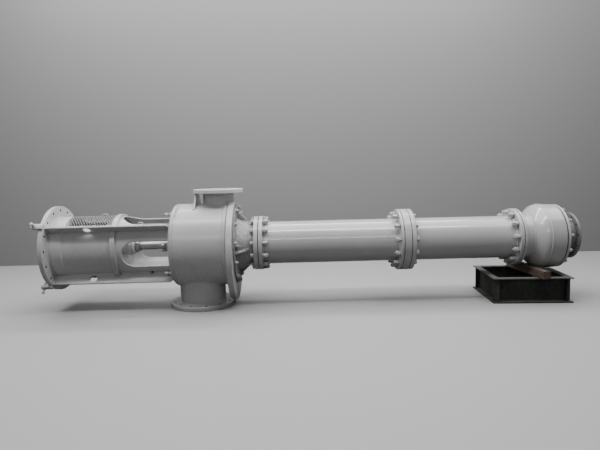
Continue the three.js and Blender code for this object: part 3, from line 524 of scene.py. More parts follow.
def threadedRod(radius, start, end, pitch=3.0, sides=12):
    # a rod whose radius swings between crest and root twice in each pitch, with a chamfered tip
    turns = max(2, int((end - start) / pitch))
    along = np.linspace(start, end - 1.5, 2 * turns + 1)
    ridge = radius - 0.09 * radius * (np.arange(len(along)) % 2)
    outline = np.concatenate([[[0.0, start]], np.stack([ridge, along], 1), [[radius * 0.8, end], [0.0, end]]])
    return turned(outline, sides, closed=False)


def holeLiner(radius, start, end):
    # a near-black skin inside a bolt hole: painted shade of the hole
    return turned(band(radius - 0.8, radius + 0.2, start, end), 20)


def wireAlong(path, radius, helper):
    # A round wire: at each point a circle square to the line through its neighbours,
    # shrunk to nothing at both ends so that they are closed
    sides = 10
    path = np.asarray(path, float)
    path = np.concatenate([path[:1], path, path[-1:]])
    ahead = np.gradient(path, axis=0)
    ahead = ahead / np.linalg.norm(ahead, axis=1, keepdims=True)
    side = np.cross(np.asarray(helper, float), ahead)
    side = side / np.linalg.norm(side, axis=1, keepdims=True)
    other = np.cross(ahead, side)
    size = np.full(len(path), float(radius))
    size[[0, -1]] = 0.001
    about = np.arange(sides) * 2 * np.pi / sides
    ring = np.cos(about)[:, None] * side[:, None] + np.sin(about)[:, None] * other[:, None]
    points = path[:, None] + ring * size[:, None, None]
    return points.reshape(-1, 3), gridFaces(len(path), sides, False, True)


def washer(radius, thickness):
    return bandRing(0.0, radius, 0.0, thickness, 0.8, 2, 20)


beadStep = 3.5  # between a weld bead's stations
rippleLength = 7.0


def beadAlong(path, size, away, closed=False, seed=1):
    # A weld bead: a low round section carried along a path, half in the metal. Its width
    # swells and shrinks with each overlapping ripple and with a slow random drift.
    path = np.asarray(path, float)
    steps = np.roll(path, -1, 0) - np.roll(path, 1, 0)
    if not closed:
        steps[0], steps[-1] = path[1] - path[0], path[-1] - path[-2]
    ahead = steps / np.linalg.norm(steps, axis=1, keepdims=True)
    away = np.broadcast_to(np.asarray(away, float), path.shape)
    away = away - (away * ahead).sum(1, keepdims=True) * ahead
    away = away / np.linalg.norm(away, axis=1, keepdims=True)
    across = np.cross(ahead, away)
    run = np.concatenate([[0.0], np.cumsum(np.linalg.norm(np.diff(path, axis=0), axis=1))])
    drift = np.random.default_rng(seed).normal(0, 1, len(path))
    drift = sum(np.roll(drift, k) for k in range(-3, 4)) / 7
    width = size * (1 + 0.1 * np.abs(np.sin(np.pi * run / rippleLength)) + 0.1 * drift)
    about = np.arange(8) * np.pi / 4
    rise = np.cos(about)[None, :, None] * width[:, None, None] * 0.55 * away[:, None]
    sway = np.sin(about)[None, :, None] * width[:, None, None] * across[:, None]
    points = (path[:, None] + rise + sway).reshape(-1, 3)
    faces = gridFaces(len(path), 8, closed, True)
    if closed:
        return points, faces
    ends = np.stack([path[0], path[-1]])
    hub = len(points)
    ring = np.arange(8)
    first = np.stack([np.full(8, hub), ring, np.roll(ring, -1), np.roll(ring, -1)], 1)
    tail = hub - 8 + np.roll(ring, -1)
    last = np.stack([np.full(8, hub + 1), hub - 8 + ring, tail, tail], 1)
    return np.concatenate([points, ends]), np.concatenate([faces, first, last])


def ringBead(x, radius, size, lean=0.0, seed=1):
    # a bead all round the axis; lean tips it from facing outwards towards +X, in degrees
    count = int(2 * np.pi * radius / beadStep)
    angles = np.arange(count) * 2 * np.pi / count
    out = np.stack([np.zeros(count), -np.cos(angles), np.sin(angles)], 1)
    path = out * radius + np.array([x, 0.0, 0.0])
    away = out * np.cos(np.radians(lean)) + np.array([np.sin(np.radians(lean)), 0.0, 0.0])
    return beadAlong(path, size, away, True, seed=seed)


def lineBead(start, end, size, away, seed=1):
    start, end = np.asarray(start, float), np.asarray(end, float)
    count = max(8, int(np.linalg.norm(end - start) / beadStep))
    return beadAlong(start + (end - start) * np.linspace(0, 1, count)[:, None], size, away, seed=seed)


def frameAt(degrees):
    # rows: along the axis, round it, and outwards, at an angle that is 0 towards the camera
    angle = np.radians(degrees)
    out = np.array([0.0, -np.cos(angle), np.sin(angle)])
    along = np.array([1.0, 0.0, 0.0])
    return np.stack([along, np.cross(out, along), out])


def flatPlate(outlines, thickness, edge=1.5):
    # closed outlines, the first solid and the others holes, as a plate with rounded edges
    curve = bpy.data.curves.new("plate", "CURVE")
    curve.dimensions = "2D"
    curve.fill_mode = "BOTH"
    curve.extrude = thickness / 2 - edge
    curve.bevel_depth = edge
    curve.bevel_resolution = 1
    curve.offset = -edge
    for outline in outlines:
        outline = np.asarray(outline, float)
        spline = curve.splines.new("POLY")
        spline.points.add(len(outline) - 1)
        flat = np.concatenate([outline, np.zeros((len(outline), 1)), np.ones((len(outline), 1))], 1)
        spline.points.foreach_set("co", flat.reshape(-1))
        spline.use_cyclic_u = True
    holder = bpy.data.objects.new("plate", curve)
    mesh = bpy.data.meshes.new_from_object(holder)
    points = np.zeros(len(mesh.vertices) * 3)
    mesh.vertices.foreach_get("co", points)
    faces = [list(face.vertices) for face in mesh.polygons]
    bpy.data.objects.remove(holder)
    bpy.data.curves.remove(curve)
    bpy.data.meshes.remove(mesh)
    return points.reshape(-1, 3), faces


def circle(x, y, radius, steps):
    angles = np.arange(steps) * 2 * np.pi / steps
    return np.stack([x + radius * np.cos(angles), y + radius * np.sin(angles)], 1)


def radialPlate(degrees, outlines, thickness, edge=1.5):
    # outlines of [along, outwards] as a plate that stands on the axis at an angle
    points, faces = flatPlate(outlines, thickness, edge)
    along, around, out = frameAt(degrees)
    return points[:, :1] * along + points[:, 2:] * around + points[:, 1:2] * out, faces


def makePiece(name, parts, finish="paint", replaces=(), slot=None, body="pump", sharp=35.0, merge=0.00002):
    work = bmesh.new()
    for points, faces in parts:
        if isinstance(faces, np.ndarray):
            # a four-cornered face whose last two corners agree is a triangle
            short = faces[:, 2] == faces[:, 3]
            faces = faces[~short].tolist() + faces[short, :3].tolist()
        mesh = bpy.data.meshes.new(name)
        mesh.from_pydata(toRoom(points).tolist(), [], faces)
        work.from_mesh(mesh)
        bpy.data.meshes.remove(mesh)
    bmesh.ops.remove_doubles(work, verts=work.verts, dist=merge)
    bmesh.ops.recalc_face_normals(work, faces=work.faces)
    mesh = bpy.data.meshes.new(name)
    work.to_mesh(mesh)
    work.free()
    mesh.shade_smooth()
    mesh.set_sharp_from_angle(angle=np.radians(sharp))
    finishSlot, material = finishes[finish]
    slot = slot or finishSlot
    mesh.materials.append(material)
    piece = bpy.data.objects.new(name, mesh)
    bpy.context.scene.collection.objects.link(piece)
    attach(piece, body)
    if replaces:
        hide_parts(*replaces)
    return piece


def pointOut(piece):
    # turns an open wall's faces so that they look away from the axis
    work = bmesh.new()
    work.from_mesh(piece.data)
    work.faces.ensure_lookup_table()
    centre = work.faces[0].calc_center_median()
    if work.faces[0].normal.dot(centre - Vector((centre.x, 0.0, axisHeight))) < 0:
        bmesh.ops.reverse_faces(work, faces=work.faces)
    work.to_mesh(piece.data)
    work.free()


def thicken(piece, wall):
    # the mesh is the wall's outer skin, and its thickness goes inwards
    modifier = piece.modifiers.new("wall", "SOLIDIFY")
    modifier.thickness = wall * 0.001
    modifier.offset = -1.0
    return modifier


# motor end and stool

motorEnd = {"radius": 450, "thickness": 45, "bore": 300, "register": 335, "registerDepth": 4,
            "collarRadius": 332, "collarEnd": 177, "tubeRadius": 325.3, "circle": 405, "holes": 16,
            "holeRadius": 13, "firstHole": 47.25}
stool = {"radius": 325, "wall": 12, "start": 45.3, "end": 1285.7, "split": 703,
         "windowStart": 222, "windowEnd": 628, "ribs": (36, 144, 234, 306), "ribRadius": 437,
         "ribThickness": 20, "ribCut": (1260, 26), "holeX": 452, "holeRadius": 38,
         "ringStart": 678, "ringEnd": 729, "ringRadius": 350,
         # between two ribs: their angles, the slot's middle, half width and start, the guarded
         # window's middle and half spread
         "sides": ((-54, 36, (-9, 135, 783), None), (36, 144, (86, 183, 742), (90, 39)),
                   (144, 234, (189, 135, 783), None), (234, 306, (270, 135, 783), (270, 28)))}


def motorFlange(s):
    circle, thick, margin = s["circle"], s["thickness"], 22
    outside = softened(band(circle + margin, s["radius"], 0, thick), 2.5, closed=False)
    collar, collarEnd, tube, depth = s["collarRadius"], s["collarEnd"], s["tubeRadius"], s["registerDepth"]
    inside = softened([(circle - margin, thick), (collar, thick), (collar, collarEnd), (tube, collarEnd),
                       (tube, thick), (s["bore"], thick), (s["bore"], depth), (s["register"], depth),
                       (s["register"], 0), (circle - margin, 0)], 2.0, closed=False)
    ring = boltedRing(outside, inside, circle, s["holes"], s["holeRadius"], s["firstHole"])
    makePiece("motor_flange_ring", [ring], replaces=["motor_flange"])
    places = ringPlaces(0, circle, s["holes"], s["firstHole"])
    liners = copies(holeLiner(s["holeRadius"], 0.8, thick - 0.8), places, (1, 0, 0))
    # painted shade inside the bolt holes
    makePiece("motor_flange_liners", [liners], "gapShade")


def wallCell(spec, startX, endX, low, high, opening=None, angleSteps=24, alongSteps=16):
    # A side of a round wall between two angles, unrolled. opening moves points of the border
    # to the window's edge, and the wall spreads from there to its border.
    angles = np.linspace(low, high, angleSteps + 1)
    along = np.linspace(startX, endX, alongSteps + 1)
    if opening is None:
        x, angle = np.meshgrid(along, angles, indexing="ij")
        flat = np.stack([x, angle], -1)
        faces = gridFaces(alongSteps + 1, angleSteps + 1)
    else:
        border = np.concatenate([np.stack([np.full(angleSteps, startX), angles[:-1]], 1),
                                 np.stack([along[:-1], np.full(alongSteps, float(high))], 1),
                                 np.stack([np.full(angleSteps, endX), angles[:0:-1]], 1),
                                 np.stack([along[:0:-1], np.full(alongSteps, float(low))], 1)])
        rings = 6
        share = np.linspace(0, 1, rings)[:, None, None]
        flat = opening(border)[None] * (1 - share) + border[None] * share
        faces = gridFaces(rings, len(border), False, True)
    return onWall(flat, spec["radius"]), faces


def onWall(flat, radius):
    # points of [along, degrees] on a round wall
    angle = np.radians(flat[..., 1].reshape(-1))
    return np.stack([flat[..., 0].reshape(-1), -radius * np.cos(angle), radius * np.sin(angle)], 1)


def guardWindow(spec, middle, spread):
    centre = np.array([(spec["windowStart"] + spec["windowEnd"]) / 2, middle])
    half = np.array([(spec["windowEnd"] - spec["windowStart"]) / 2, spread])

    def edge(border):
        # a rounded rectangle: the fourteenth powers of both shares of the half sizes sum to one
        lean = (border - centre) / half
        size = (np.abs(lean) ** 14).sum(1, keepdims=True) ** (1 / 14)
        return centre + half * lean / size

    return edge


def slotCell(spec, low, high, middle, half, start):
    # the wall round a slot that runs out at the drum: three sides of the border are
    # matched with the slot's two straight edges and its round end
    angleSteps, alongSteps, rings = 24, 16, 7
    endX, startX = spec["end"], spec["split"]
    angles = np.linspace(high, low, angleSteps + 1)
    along = np.linspace(endX, startX, alongSteps + 1)
    border = np.concatenate([np.stack([along[:-1], np.full(alongSteps, float(high))], 1),
                             np.stack([np.full(angleSteps, startX), angles[:-1]], 1),
                             np.stack([along[::-1], np.full(alongSteps + 1, float(low))], 1)])
    centre = start + half
    straight = np.linspace(endX, centre, alongSteps + 1)
    bend = np.linspace(np.pi / 2, 3 * np.pi / 2, angleSteps + 1)
    x = np.concatenate([straight[:-1], centre + half * np.cos(bend[:-1]), straight[::-1]])
    y = half * np.concatenate([np.ones(alongSteps), np.sin(bend[:-1]), -np.ones(alongSteps + 1)])
    edge = np.stack([x, middle + np.degrees(np.arcsin(y / spec["radius"]))], 1)
    share = np.linspace(0, 1, rings)[:, None, None]
    flat = edge[None] * (1 - share) + border[None] * share
    return onWall(flat, spec["radius"]), gridFaces(rings, len(border))


def stoolTube(s):
    parts = []
    for low, high, slot, window in s["sides"]:
        opening = guardWindow(s, *window) if window else None
        parts.append(wallCell(s, s["start"], s["split"], low, high, opening))
        parts.append(slotCell(s, low, high, *slot))
    tube = makePiece("stool_wall", parts, replaces=["stool_tube"], merge=0.0002)
    pointOut(tube)
    thicken(tube, s["wall"]).use_quality_normals = True
    rim = tube.modifiers.new("rim", "BEVEL")
    rim.width = 0.0012
    rim.segments = 2
    rim.limit_method = "ANGLE"
    rim.angle_limit = np.radians(50)
    rim.harden_normals = False


def stoolDress(s):
    seat, low, high = s["radius"] + seatGap, s["start"], s["end"]
    ring = bandRing(seat, s["ringRadius"], s["ringStart"], s["ringEnd"], 3.0)
    makePiece("stiffener", [ring], replaces=["stiffener_ring"])
    # a rib is notched over the flange's collar and over the stiffener
    collar, notch = motorEnd["collarEnd"] + seatGap, s["ringRadius"] + seatGap
    notchStart, notchEnd = s["ringStart"] - seatGap, s["ringEnd"] + seatGap
    top, (cutX, cut) = s["ribRadius"], s["ribCut"]
    outline = [(low, seat + 7), (collar, seat + 7), (collar, seat), (notchStart, seat), (notchStart, notch),
               (notchEnd, notch), (notchEnd, seat), (high, seat), (high, top - cut), (cutX, top), (low, top)]
    hole = circle(s["holeX"], (s["radius"] + top) / 2, s["holeRadius"], 56)
    for index, angle in enumerate(s["ribs"]):
        rib = radialPlate(angle, [outline, hole], s["ribThickness"], 2.0)
        makePiece(f"long_rib_{index + 1}", [rib], replaces=[f"rib_{index + 1}"])
    # round beads: place, radius, size, lean, seed
    rounds = ((46, 336, 9, 45, 2), (178, 327, 5, 45, 3), (677, 326, 6, -45, 4), (730, 326, 6, 45, 5))
    beads = [ringBead(*spec) for spec in rounds]
    for angle in s["ribs"]:
        along, around, out = frameAt(angle)
        for side in (-1, 1):
            foot = side * (s["ribThickness"] / 2 + 1) * around
            level = out * np.sqrt(seat ** 2 - (s["ribThickness"] / 2) ** 2)
            aside = side * around * 0.7
            for start, end in ((180, 674), (733, 1282)):
                ends = [along * x + foot + level for x in (start, end)]
                beads.append(lineBead(*ends, 6.5, out * 0.7 + aside, seed=start + side))
            for x, bottom, peak, face in ((47, seat + 14, top - 3, 1), (1284, seat + 5, top - 30, -1)):
                ends = [along * x + foot + out * height for height in (bottom, peak)]
                beads.append(lineBead(*ends, 6, face * along * 0.7 + aside, seed=x))
    makePiece("stool_welds", beads, "weldSparklePaint")


jacks = {"angles": (36, 144, 234, 306), "seat": 450.3, "thickness": 24, "start": -78, "end": 40, "half": 28,
         "screwX": -44, "screw": 10, "reach": 78, "inner": -44, "headFlats": 30, "nutFlats": 32}


def jackLugs(s):
    # a plate that is round at its free end, with a threaded rod through it, its head and two nuts
    half, centre = s["half"], s["start"] + s["half"] + 2
    bend = np.linspace(np.pi / 2, 3 * np.pi / 2, 17)
    nose = np.stack([centre + (half + 2) * np.cos(bend), half * np.sin(bend)], 1)
    outline = np.concatenate([[(s["end"], -half), (s["end"], half)], nose])
    for index, angle in enumerate(s["angles"]):
        along, around, out = frameAt(angle)
        points, faces = flatPlate([outline], s["thickness"], 3.0)
        arm = (points[:, :1] * along + points[:, 1:2] * around
               + (points[:, 2:] + s["seat"] + s["thickness"] / 2) * out, faces)
        foot = along * s["screwX"] + out * s["seat"]
        heights = (s["inner"], s["reach"] - 14, s["thickness"], -16)
        places = [foot + out * level for level in heights]
        rod = copies(threadedRod(s["screw"], 0, s["reach"] - s["inner"] - 8, 2.5), places[:1], out)
        head = copies(hexBlock(s["headFlats"], 14), places[1:2], out, index)
        nuts = copies(hexBlock(s["nutFlats"], 15), places[2:4], out, index + 9)
        makePiece(f"jack_{index + 1}", [arm, rod, head, nuts], replaces=[f"jack_lug_{index + 1}"])


guardMesh = {"start": 192, "end": 662, "pitch": 27, "slope": 0.6, "broad": 9.5, "slim": 2.6, "thickness": 1.8,
             "seat": 326.5, "tilt": 3.0, "panels": {"top": (90, 43.5), "bottom": (270, 32.5)}}
chamber = {"start": 62, "end": 690, "radius": 312.4, "skin": 0.8, "walls": ((132, 240), (300, 408))}
trimWire = {"handle": (476, 543, 97, 354), "wire": 4.5, "strip": (995, 1283, 50.9), "stripSize": 4.5,
            "hook": (938, 990), "nub": (1062, -50)}


def slantedStrands(s, middle, half, sign, width, lift):
    # Strands that climb round the stool on a slant: x = x0 + sign * slope * seat * (middle - angle),
    # each cut where it meets the panel's ends, its section leaning so that one edge is proud
    rise = sign * s["slope"] * s["seat"]
    spread = abs(rise) * np.radians(half)
    origins = np.arange(s["start"] - spread, s["end"] + spread, s["pitch"])
    ends = np.stack([(s["start"] - origins) / rise, (s["end"] - origins) / rise], 1)
    low = np.maximum(ends.min(1), -np.radians(half))
    high = np.minimum(ends.max(1), np.radians(half))
    keep = high - low > 0.03
    share = np.linspace(0, 1, 20)
    swing = low[keep, None] * (1 - share) + high[keep, None] * share
    x = origins[keep, None] + rise * swing
    angle = np.radians(middle) - swing
    wide, thick, tilt = width / 2, s["thickness"], s["tilt"]
    corners = np.array([(-wide, -tilt), (wide, tilt), (wide, tilt + thick), (-wide, thick - tilt)])
    px = x[..., None] + corners[:, 0]
    pr = s["seat"] + tilt + lift + np.broadcast_to(corners[:, 1], px.shape)
    pa = np.broadcast_to(angle[..., None], px.shape)
    points = np.stack([px, -pr * np.cos(pa), pr * np.sin(pa)], -1).reshape(-1, 3)
    last = 4 * len(share) - 4
    one = np.concatenate([gridFaces(len(share), 4, False, True), [[0, 3, 2, 1]],
                          [[last, last + 1, last + 2, last + 3]]])
    faces = (one[None] + (np.arange(int(keep.sum())) * len(share) * 4)[:, None, None]).reshape(-1, 4)
    return points, faces


def chamberShadeSheet(s):
    # a near-black sheet inside the coupling chamber, between the two guarded windows: painted shade seen
    # through the mesh
    parts, steps = [], 40
    section = np.array(band(s["radius"] - s["skin"], s["radius"], s["start"], s["end"]), float)[[1, 0, 3, 2]]
    radius, x = section[:, 0], section[:, 1]
    last = 4 * steps - 4
    ends = [[0, 3, 2, 1], [last, last + 1, last + 2, last + 3]]
    for low, high in s["walls"]:
        angle = np.radians(np.linspace(low, high, steps))[:, None]
        rows = [np.broadcast_to(x, (steps, 4)), -radius * np.cos(angle), radius * np.sin(angle)]
        faces = np.concatenate([gridFaces(steps, 4, False, True), ends])
        parts.append((np.stack(rows, -1).reshape(-1, 3), faces))
    makePiece("chamber_shade_sheet", parts, "gapShade")


def guardPanel(s, name, node, middle, half):
    # expanded metal: broad strands that lean one way over slim ones that lean the other way
    parts = [slantedStrands(s, middle, half, 1, s["broad"], 1.2),
             slantedStrands(s, middle, half, -1, s["slim"], 0.2)]
    for side in (-1, 1):
        along = np.linspace(s["start"] + 30, s["end"] - 30, 4)
        out = frameAt(middle + side * (half - 2))[2]
        places = along[:, None] * np.array([1.0, 0.0, 0.0]) + out * (s["seat"] + 2.5)
        parts.append(copies(washer(13, 2), places, out))
        parts.append(copies(hexBlock(13, 6, 2), places, out, 5))
    makePiece(name, parts, "zinc", replaces=[node], merge=0.000001)


def archOver(along, out, start, end, foot, rise, power=1.0):
    # points that climb from the foot's radius by the rise and come down again
    bend = np.linspace(0, np.pi, 25)[:, None]
    middle, half = (start + end) / 2, (end - start) / 2
    return along * (middle - half * np.cos(bend)) + out * (foot + rise * np.sin(bend) ** power), bend


def stoolTrim(s, radius):
    # the guard's wire handle, the pale strip with its hook along the top slot's near edge, and
    # the nub between two ribs
    start, end, angle, top = s["handle"]
    along, around, out = frameAt(angle)
    arch = archOver(along, out, start, end, radius + 2, top - radius - 2, 0.5)[0]
    makePiece("guard_handle", [wireAlong(arch, s["wire"], around)], "zinc")
    start, end, angle = s["strip"]
    along, around, out = frameAt(angle)
    strip = along * np.linspace(start, end, 20)[:, None] + out * (radius + 2)
    makePiece("slot_strip", [wireAlong(strip, s["stripSize"], around)], "cream")
    hook, bend = archOver(along, out, *s["hook"], radius + 3, 10)
    makePiece("slot_hook", [wireAlong(hook + around * 16 * np.sin(bend), s["wire"], out)], "zinc")
    x, angle = s["nub"]
    along, around, out = frameAt(angle)
    nub = copies(hexBlock(24, 14), [along * x + out * (radius - 1)], out)
    makePiece("rib_nub", [nub], "darkIron")


motorFlange(motorEnd)
stoolTube(stool)
stoolDress(stool)
stoolTrim(trimWire, stool["radius"])
jackLugs(jacks)
chamberShadeSheet(chamber)
for side, (middle, half) in guardMesh["panels"].items():
    guardPanel(guardMesh, f"guard_mesh_{side}", f"guard_{side}", middle, half)
print("motor end and stool made")


# drum, base plate and nozzles

drum = {"start": 1286, "end": 1881.7, "radius": 442, "wall": 14, "knuckle": 40, "hole": 66.3,
        "collar": (1836, 1869, 451), "studs": (-44, 67, 113, 224), "studRadius": 374, "studReach": 82,
        # the quarters of the shell: middle angle, and the place and radius of a nozzle's hole
        "quarters": ((90, (1745, 112)), (-90, (1549, 214)), (0, None), (180, None))}
plate = {"start": 1882, "end": 1941, "radius": 531, "drop": 70, "bore": 230, "recess": 430,
         "recessDepth": 2.5}
outlet = {"x": 1549, "radius": 245, "bore": 231, "flange": 350, "thickness": 44, "circle": 302, "holes": 12,
          "holeRadius": 14, "firstHole": -75}
inlet = {"x": 1757, "radius": 164, "bore": 150, "flange": 264, "thickness": 36, "face": 594, "circle": 222,
         "holes": 8, "holeRadius": 11, "firstHole": 22.5}
gusset = {"x": 1527, "thickness": 18, "half": 205, "halfTop": 62, "ear": 400,
          # the welds' places and the side to which each looks
          "welds": ((1517, -0.7), (1537, 0.7))}


def drumProfile(x, s):
    # the drum's radius at x: level along the shell, a quarter circle over the knuckle
    inKnuckle = np.clip(s["knuckle"] - (x - s["start"]), 0, s["knuckle"])
    return s["radius"] - s["knuckle"] + np.sqrt(s["knuckle"] ** 2 - inKnuckle ** 2)


def drumWall(s, middle, hole):
    # a quarter of the drum's shell, pierced by a round hole where hole gives its middle and radius
    def edge(border):
        lean = np.stack([border[:, 0] - hole[0], np.radians(border[:, 1] - middle) * s["radius"]], 1)
        lean = lean / np.linalg.norm(lean, axis=1, keepdims=True) * hole[1]
        return np.stack([hole[0] + lean[:, 0], middle + np.degrees(np.arcsin(lean[:, 1] / s["radius"]))], 1)

    start = s["start"] + s["knuckle"]
    return wallCell(s, start, s["end"], middle - 45, middle + 45, edge if hole else None, 36, 24)


def makeDrum(s):
    bend = np.linspace(0, np.pi / 2, 13)
    dish, shellStart, back = s["radius"] - s["knuckle"], s["start"] + s["knuckle"], s["start"] + s["wall"]
    outer, inner = [np.stack([dish + size * np.sin(turn), shellStart - size * np.cos(turn)], 1)
                    for size, turn in ((s["knuckle"], bend), (s["knuckle"] - s["wall"], bend[::-1]))]
    outline = np.concatenate([[(s["hole"], s["start"]), (dish - 2, s["start"])], outer, inner,
                              [(dish - 2, back), (s["hole"], back)]])
    makePiece("drum_head_dish", [turned(outline, 192)], replaces=["drum_head"])
    parts = [drumWall(s, middle, hole) for middle, hole in s["quarters"]]
    shell = makePiece("drum_shell_wall", parts, replaces=["drum_shell"], merge=0.0002)
    pointOut(shell)
    thicken(shell, s["wall"])
    start, end, radius = s["collar"]
    makePiece("drum_collar", [bandRing(s["radius"] - 4, radius, start, end, 2.5, sides=192)])
    rounds = ((shellStart, s["radius"] - 0.6, 4, 0, 11), (start - 1, s["radius"] + 1, 5, -45, 12),
              (end + 1, s["radius"] + 1, 5, 45, 13), (s["end"] - 2, s["radius"] + 2, 7, -45, 14))
    makePiece("drum_welds", [ringBead(*spec) for spec in rounds], "weldSparklePaint")
    angles = np.radians(s["studs"])
    places = np.stack([np.full(len(angles), float(s["start"])), -s["studRadius"] * np.cos(angles),
                       s["studRadius"] * np.sin(angles)], 1)
    shapes = ((washer(21, 3), 0), (hexBlock(36, 22, 3), 3), (hexBlock(36, 22, 46), 8),
              (threadedRod(12, 20, s["studReach"]), 0))
    studs = [copies(shape, places, (-1, 0, 0), seed) for shape, seed in shapes]
    makePiece("drum_head_studs", studs, "fastenerPaint")


def nozzleNeck(s, d, bottom, top, side):
    # A tube stood on the drum. Its far end is level, and its near end follows the drum:
    # the height there is the root of the drum's radius squared less the sideways reach squared.
    angles = np.arange(144) * 2 * np.pi / 144
    rows = []
    for radius in (s["radius"], s["bore"]):
        x, y = s["x"] + radius * np.cos(angles), radius * np.sin(angles)
        reach = drumProfile(np.minimum(x, d["end"]), d) - 7
        meet = side * np.sqrt(np.maximum(reach ** 2 - y ** 2, 1.0))
        far = np.full(len(angles), float(top if side > 0 else bottom))
        share = np.linspace(0, 1, 12)[:, None]
        z = meet[None] * (1 - share) + far[None] * share
        row = np.stack([np.broadcast_to(x, z.shape), np.broadcast_to(y, z.shape), z], -1)
        rows.append(row if radius == s["radius"] else row[::-1])
    grid = np.concatenate(rows)
    return grid.reshape(-1, 3), gridFaces(len(grid), len(angles), True, True)


def saddleBead(s, d, side, size, limit):
    angles = np.linspace(0, 2 * np.pi, 400, endpoint=False)
    x, y = s["x"] + (s["radius"] + 1) * np.cos(angles), (s["radius"] + 1) * np.sin(angles)
    keep = x < limit
    order = np.roll(np.arange(400), -int(np.argmax(~keep))) if not keep.all() else np.arange(400)
    order = order[keep[order]]
    z = side * np.sqrt(drumProfile(x, d) ** 2 - y ** 2)
    path = np.stack([x, y, z], 1)[order]
    out = np.stack([x - s["x"], y, side * np.full(400, s["radius"])], 1)[order]
    return beadAlong(path, size, out, bool(keep.all()), seed=21)


def makeNozzles(o, i, d):
    low, high = floorLevel, floorLevel + o["thickness"]
    face, foot = i["face"], i["face"] - i["thickness"]
    spans = ((o, low, high), (i, foot, face))
    discs = [standing(drilledFlange(spec, *span, 22, 2.5), spec["x"]) for spec, *span in spans]
    makePiece("outlet_flange", discs[:1], replaces=["discharge_flange"])
    makePiece("outlet_neck", [nozzleNeck(o, d, high, 0, -1)], replaces=["discharge_neck"])
    # the top flange takes the paler gloss: painted highlight
    makePiece("inlet_flange", discs[1:], "litFacePaint", replaces=["top_flange"])
    makePiece("inlet_neck", [nozzleNeck(i, d, 0, foot, 1)], replaces=["top_neck"])
    liners = []
    for spec, start, end in spans:
        liner = holeLiner(spec["holeRadius"], start + 0.6, end - 0.6)
        places = ringPlaces(0, spec["circle"], spec["holes"], spec["firstHole"])
        liners.append(standing(copies(liner, places, (1, 0, 0)), spec["x"]))
    # painted shade inside the bolt holes
    makePiece("nozzle_liners", liners, "gapShade")
    beads = [standing(ringBead(high + 2, o["radius"] + 2, 11, 45, 22), o["x"]),
             standing(ringBead(foot - 2, i["radius"] + 2, 7, -45, 23), i["x"]),
             saddleBead(o, d, -1, 9, d["end"]), saddleBead(i, d, 1, 8, d["collar"][0] - 2)]
    makePiece("nozzle_welds", beads, "weldSparklePaint")


def makeGusset(s, i, d):
    # a plate across the drum whose foot follows the shell and whose top props the flange
    top, half, narrow, ear = i["face"] - i["thickness"] - seatGap, s["half"], s["halfTop"], s["ear"]
    steps = 33
    across = np.linspace(-half, half, steps)
    arch = np.stack([across, np.sqrt((d["radius"] + seatGap) ** 2 - across ** 2)], 1)
    outline = np.concatenate([arch, [(half, ear), (narrow, top), (-narrow, top), (-half, ear)]])
    points, faces = flatPlate([outline], s["thickness"], 2.0)
    placed = np.stack([points[:, 2] + s["x"], points[:, 0], points[:, 1]], 1)
    makePiece("inlet_gusset", [(placed, faces)], replaces=["top_gusset"])
    beads = []
    for x, lean in s["welds"]:
        path = np.concatenate([np.full((steps, 1), x), arch], 1)
        away = np.concatenate([np.full((steps, 1), lean), arch / d["radius"] * 0.7], 1)
        beads.append(beadAlong(path, 6, away, seed=31))
        beads.append(lineBead((x, -60, top - 1), (x, 60, top - 1), 6, (lean, 0, -0.7), seed=32))
    makePiece("gusset_welds", beads, "weldSparklePaint")


def makePlate(s):
    # the drop grows from nothing at the recess, or at the bore behind it, to all of it at the rim
    start, end, floor = s["start"], s["end"], s["end"] - s["recessDepth"]
    corners = [(s["bore"], start), (s["radius"], start), (s["radius"], end), (s["recess"], end),
               (s["recess"], floor), (s["bore"], floor)]
    outline = softened(corners, (2, 3, 3, 1, 0.5, 2))
    radius, along = outline.T
    front = np.clip((radius - s["recess"]) / (s["radius"] - s["recess"] - 6), 0, 1)
    rear = np.clip((radius - s["bore"]) / 300, 0, 1)
    drop = s["drop"] * np.where(along < start + 1, rear, front)
    makePiece("sole_plate", [turned(outline, 192, drop=drop)], replaces=["base_plate"])


makeDrum(drum)
makeNozzles(outlet, inlet, drum)
makeGusset(gusset, inlet, drum)
makePlate(plate)
print("drum, plate and nozzles made")


# bearing, stuffing box and rotor

bearing = {"start": 560, "end": 844, "radius": 92, "nose": 76, "bore": 41, "webStart": 690, "web": 22,
           "webRadius": 312.7, "coverRadius": 106, "coverStart": 590, "coverEnd": 612, "coverStep": 190,
           "screws": 6, "screwCircle": 98}
stuffing = {"start": 1135, "glandEnd": 1178, "gland": 57, "box": 74, "boxEnd": 1250, "foot": 120,
            "footEnd": 1285.7, "spigot": 66, "end": 1330, "bore": 46.5, "studs": 4, "studCircle": 64,
            "bolts": 8, "boltCircle": 98}
rotor = {"start": 290, "seat": 40, "seatEnd": 849, "nut": 64, "nutEnd": 890, "sleeve": 45.5,
         "sleeveEnd": 1345, "radius": 36, "end": 5352, "hubStart": 300, "hubEnd": 432, "hubPlate": 335,
         "hubRadius": 84, "plateRadius": 135, "boltCircle": 110, "bolts": 8, "impellerStart": 5170,
         "impellerEnd": 5330, "impellerRadius": 240}


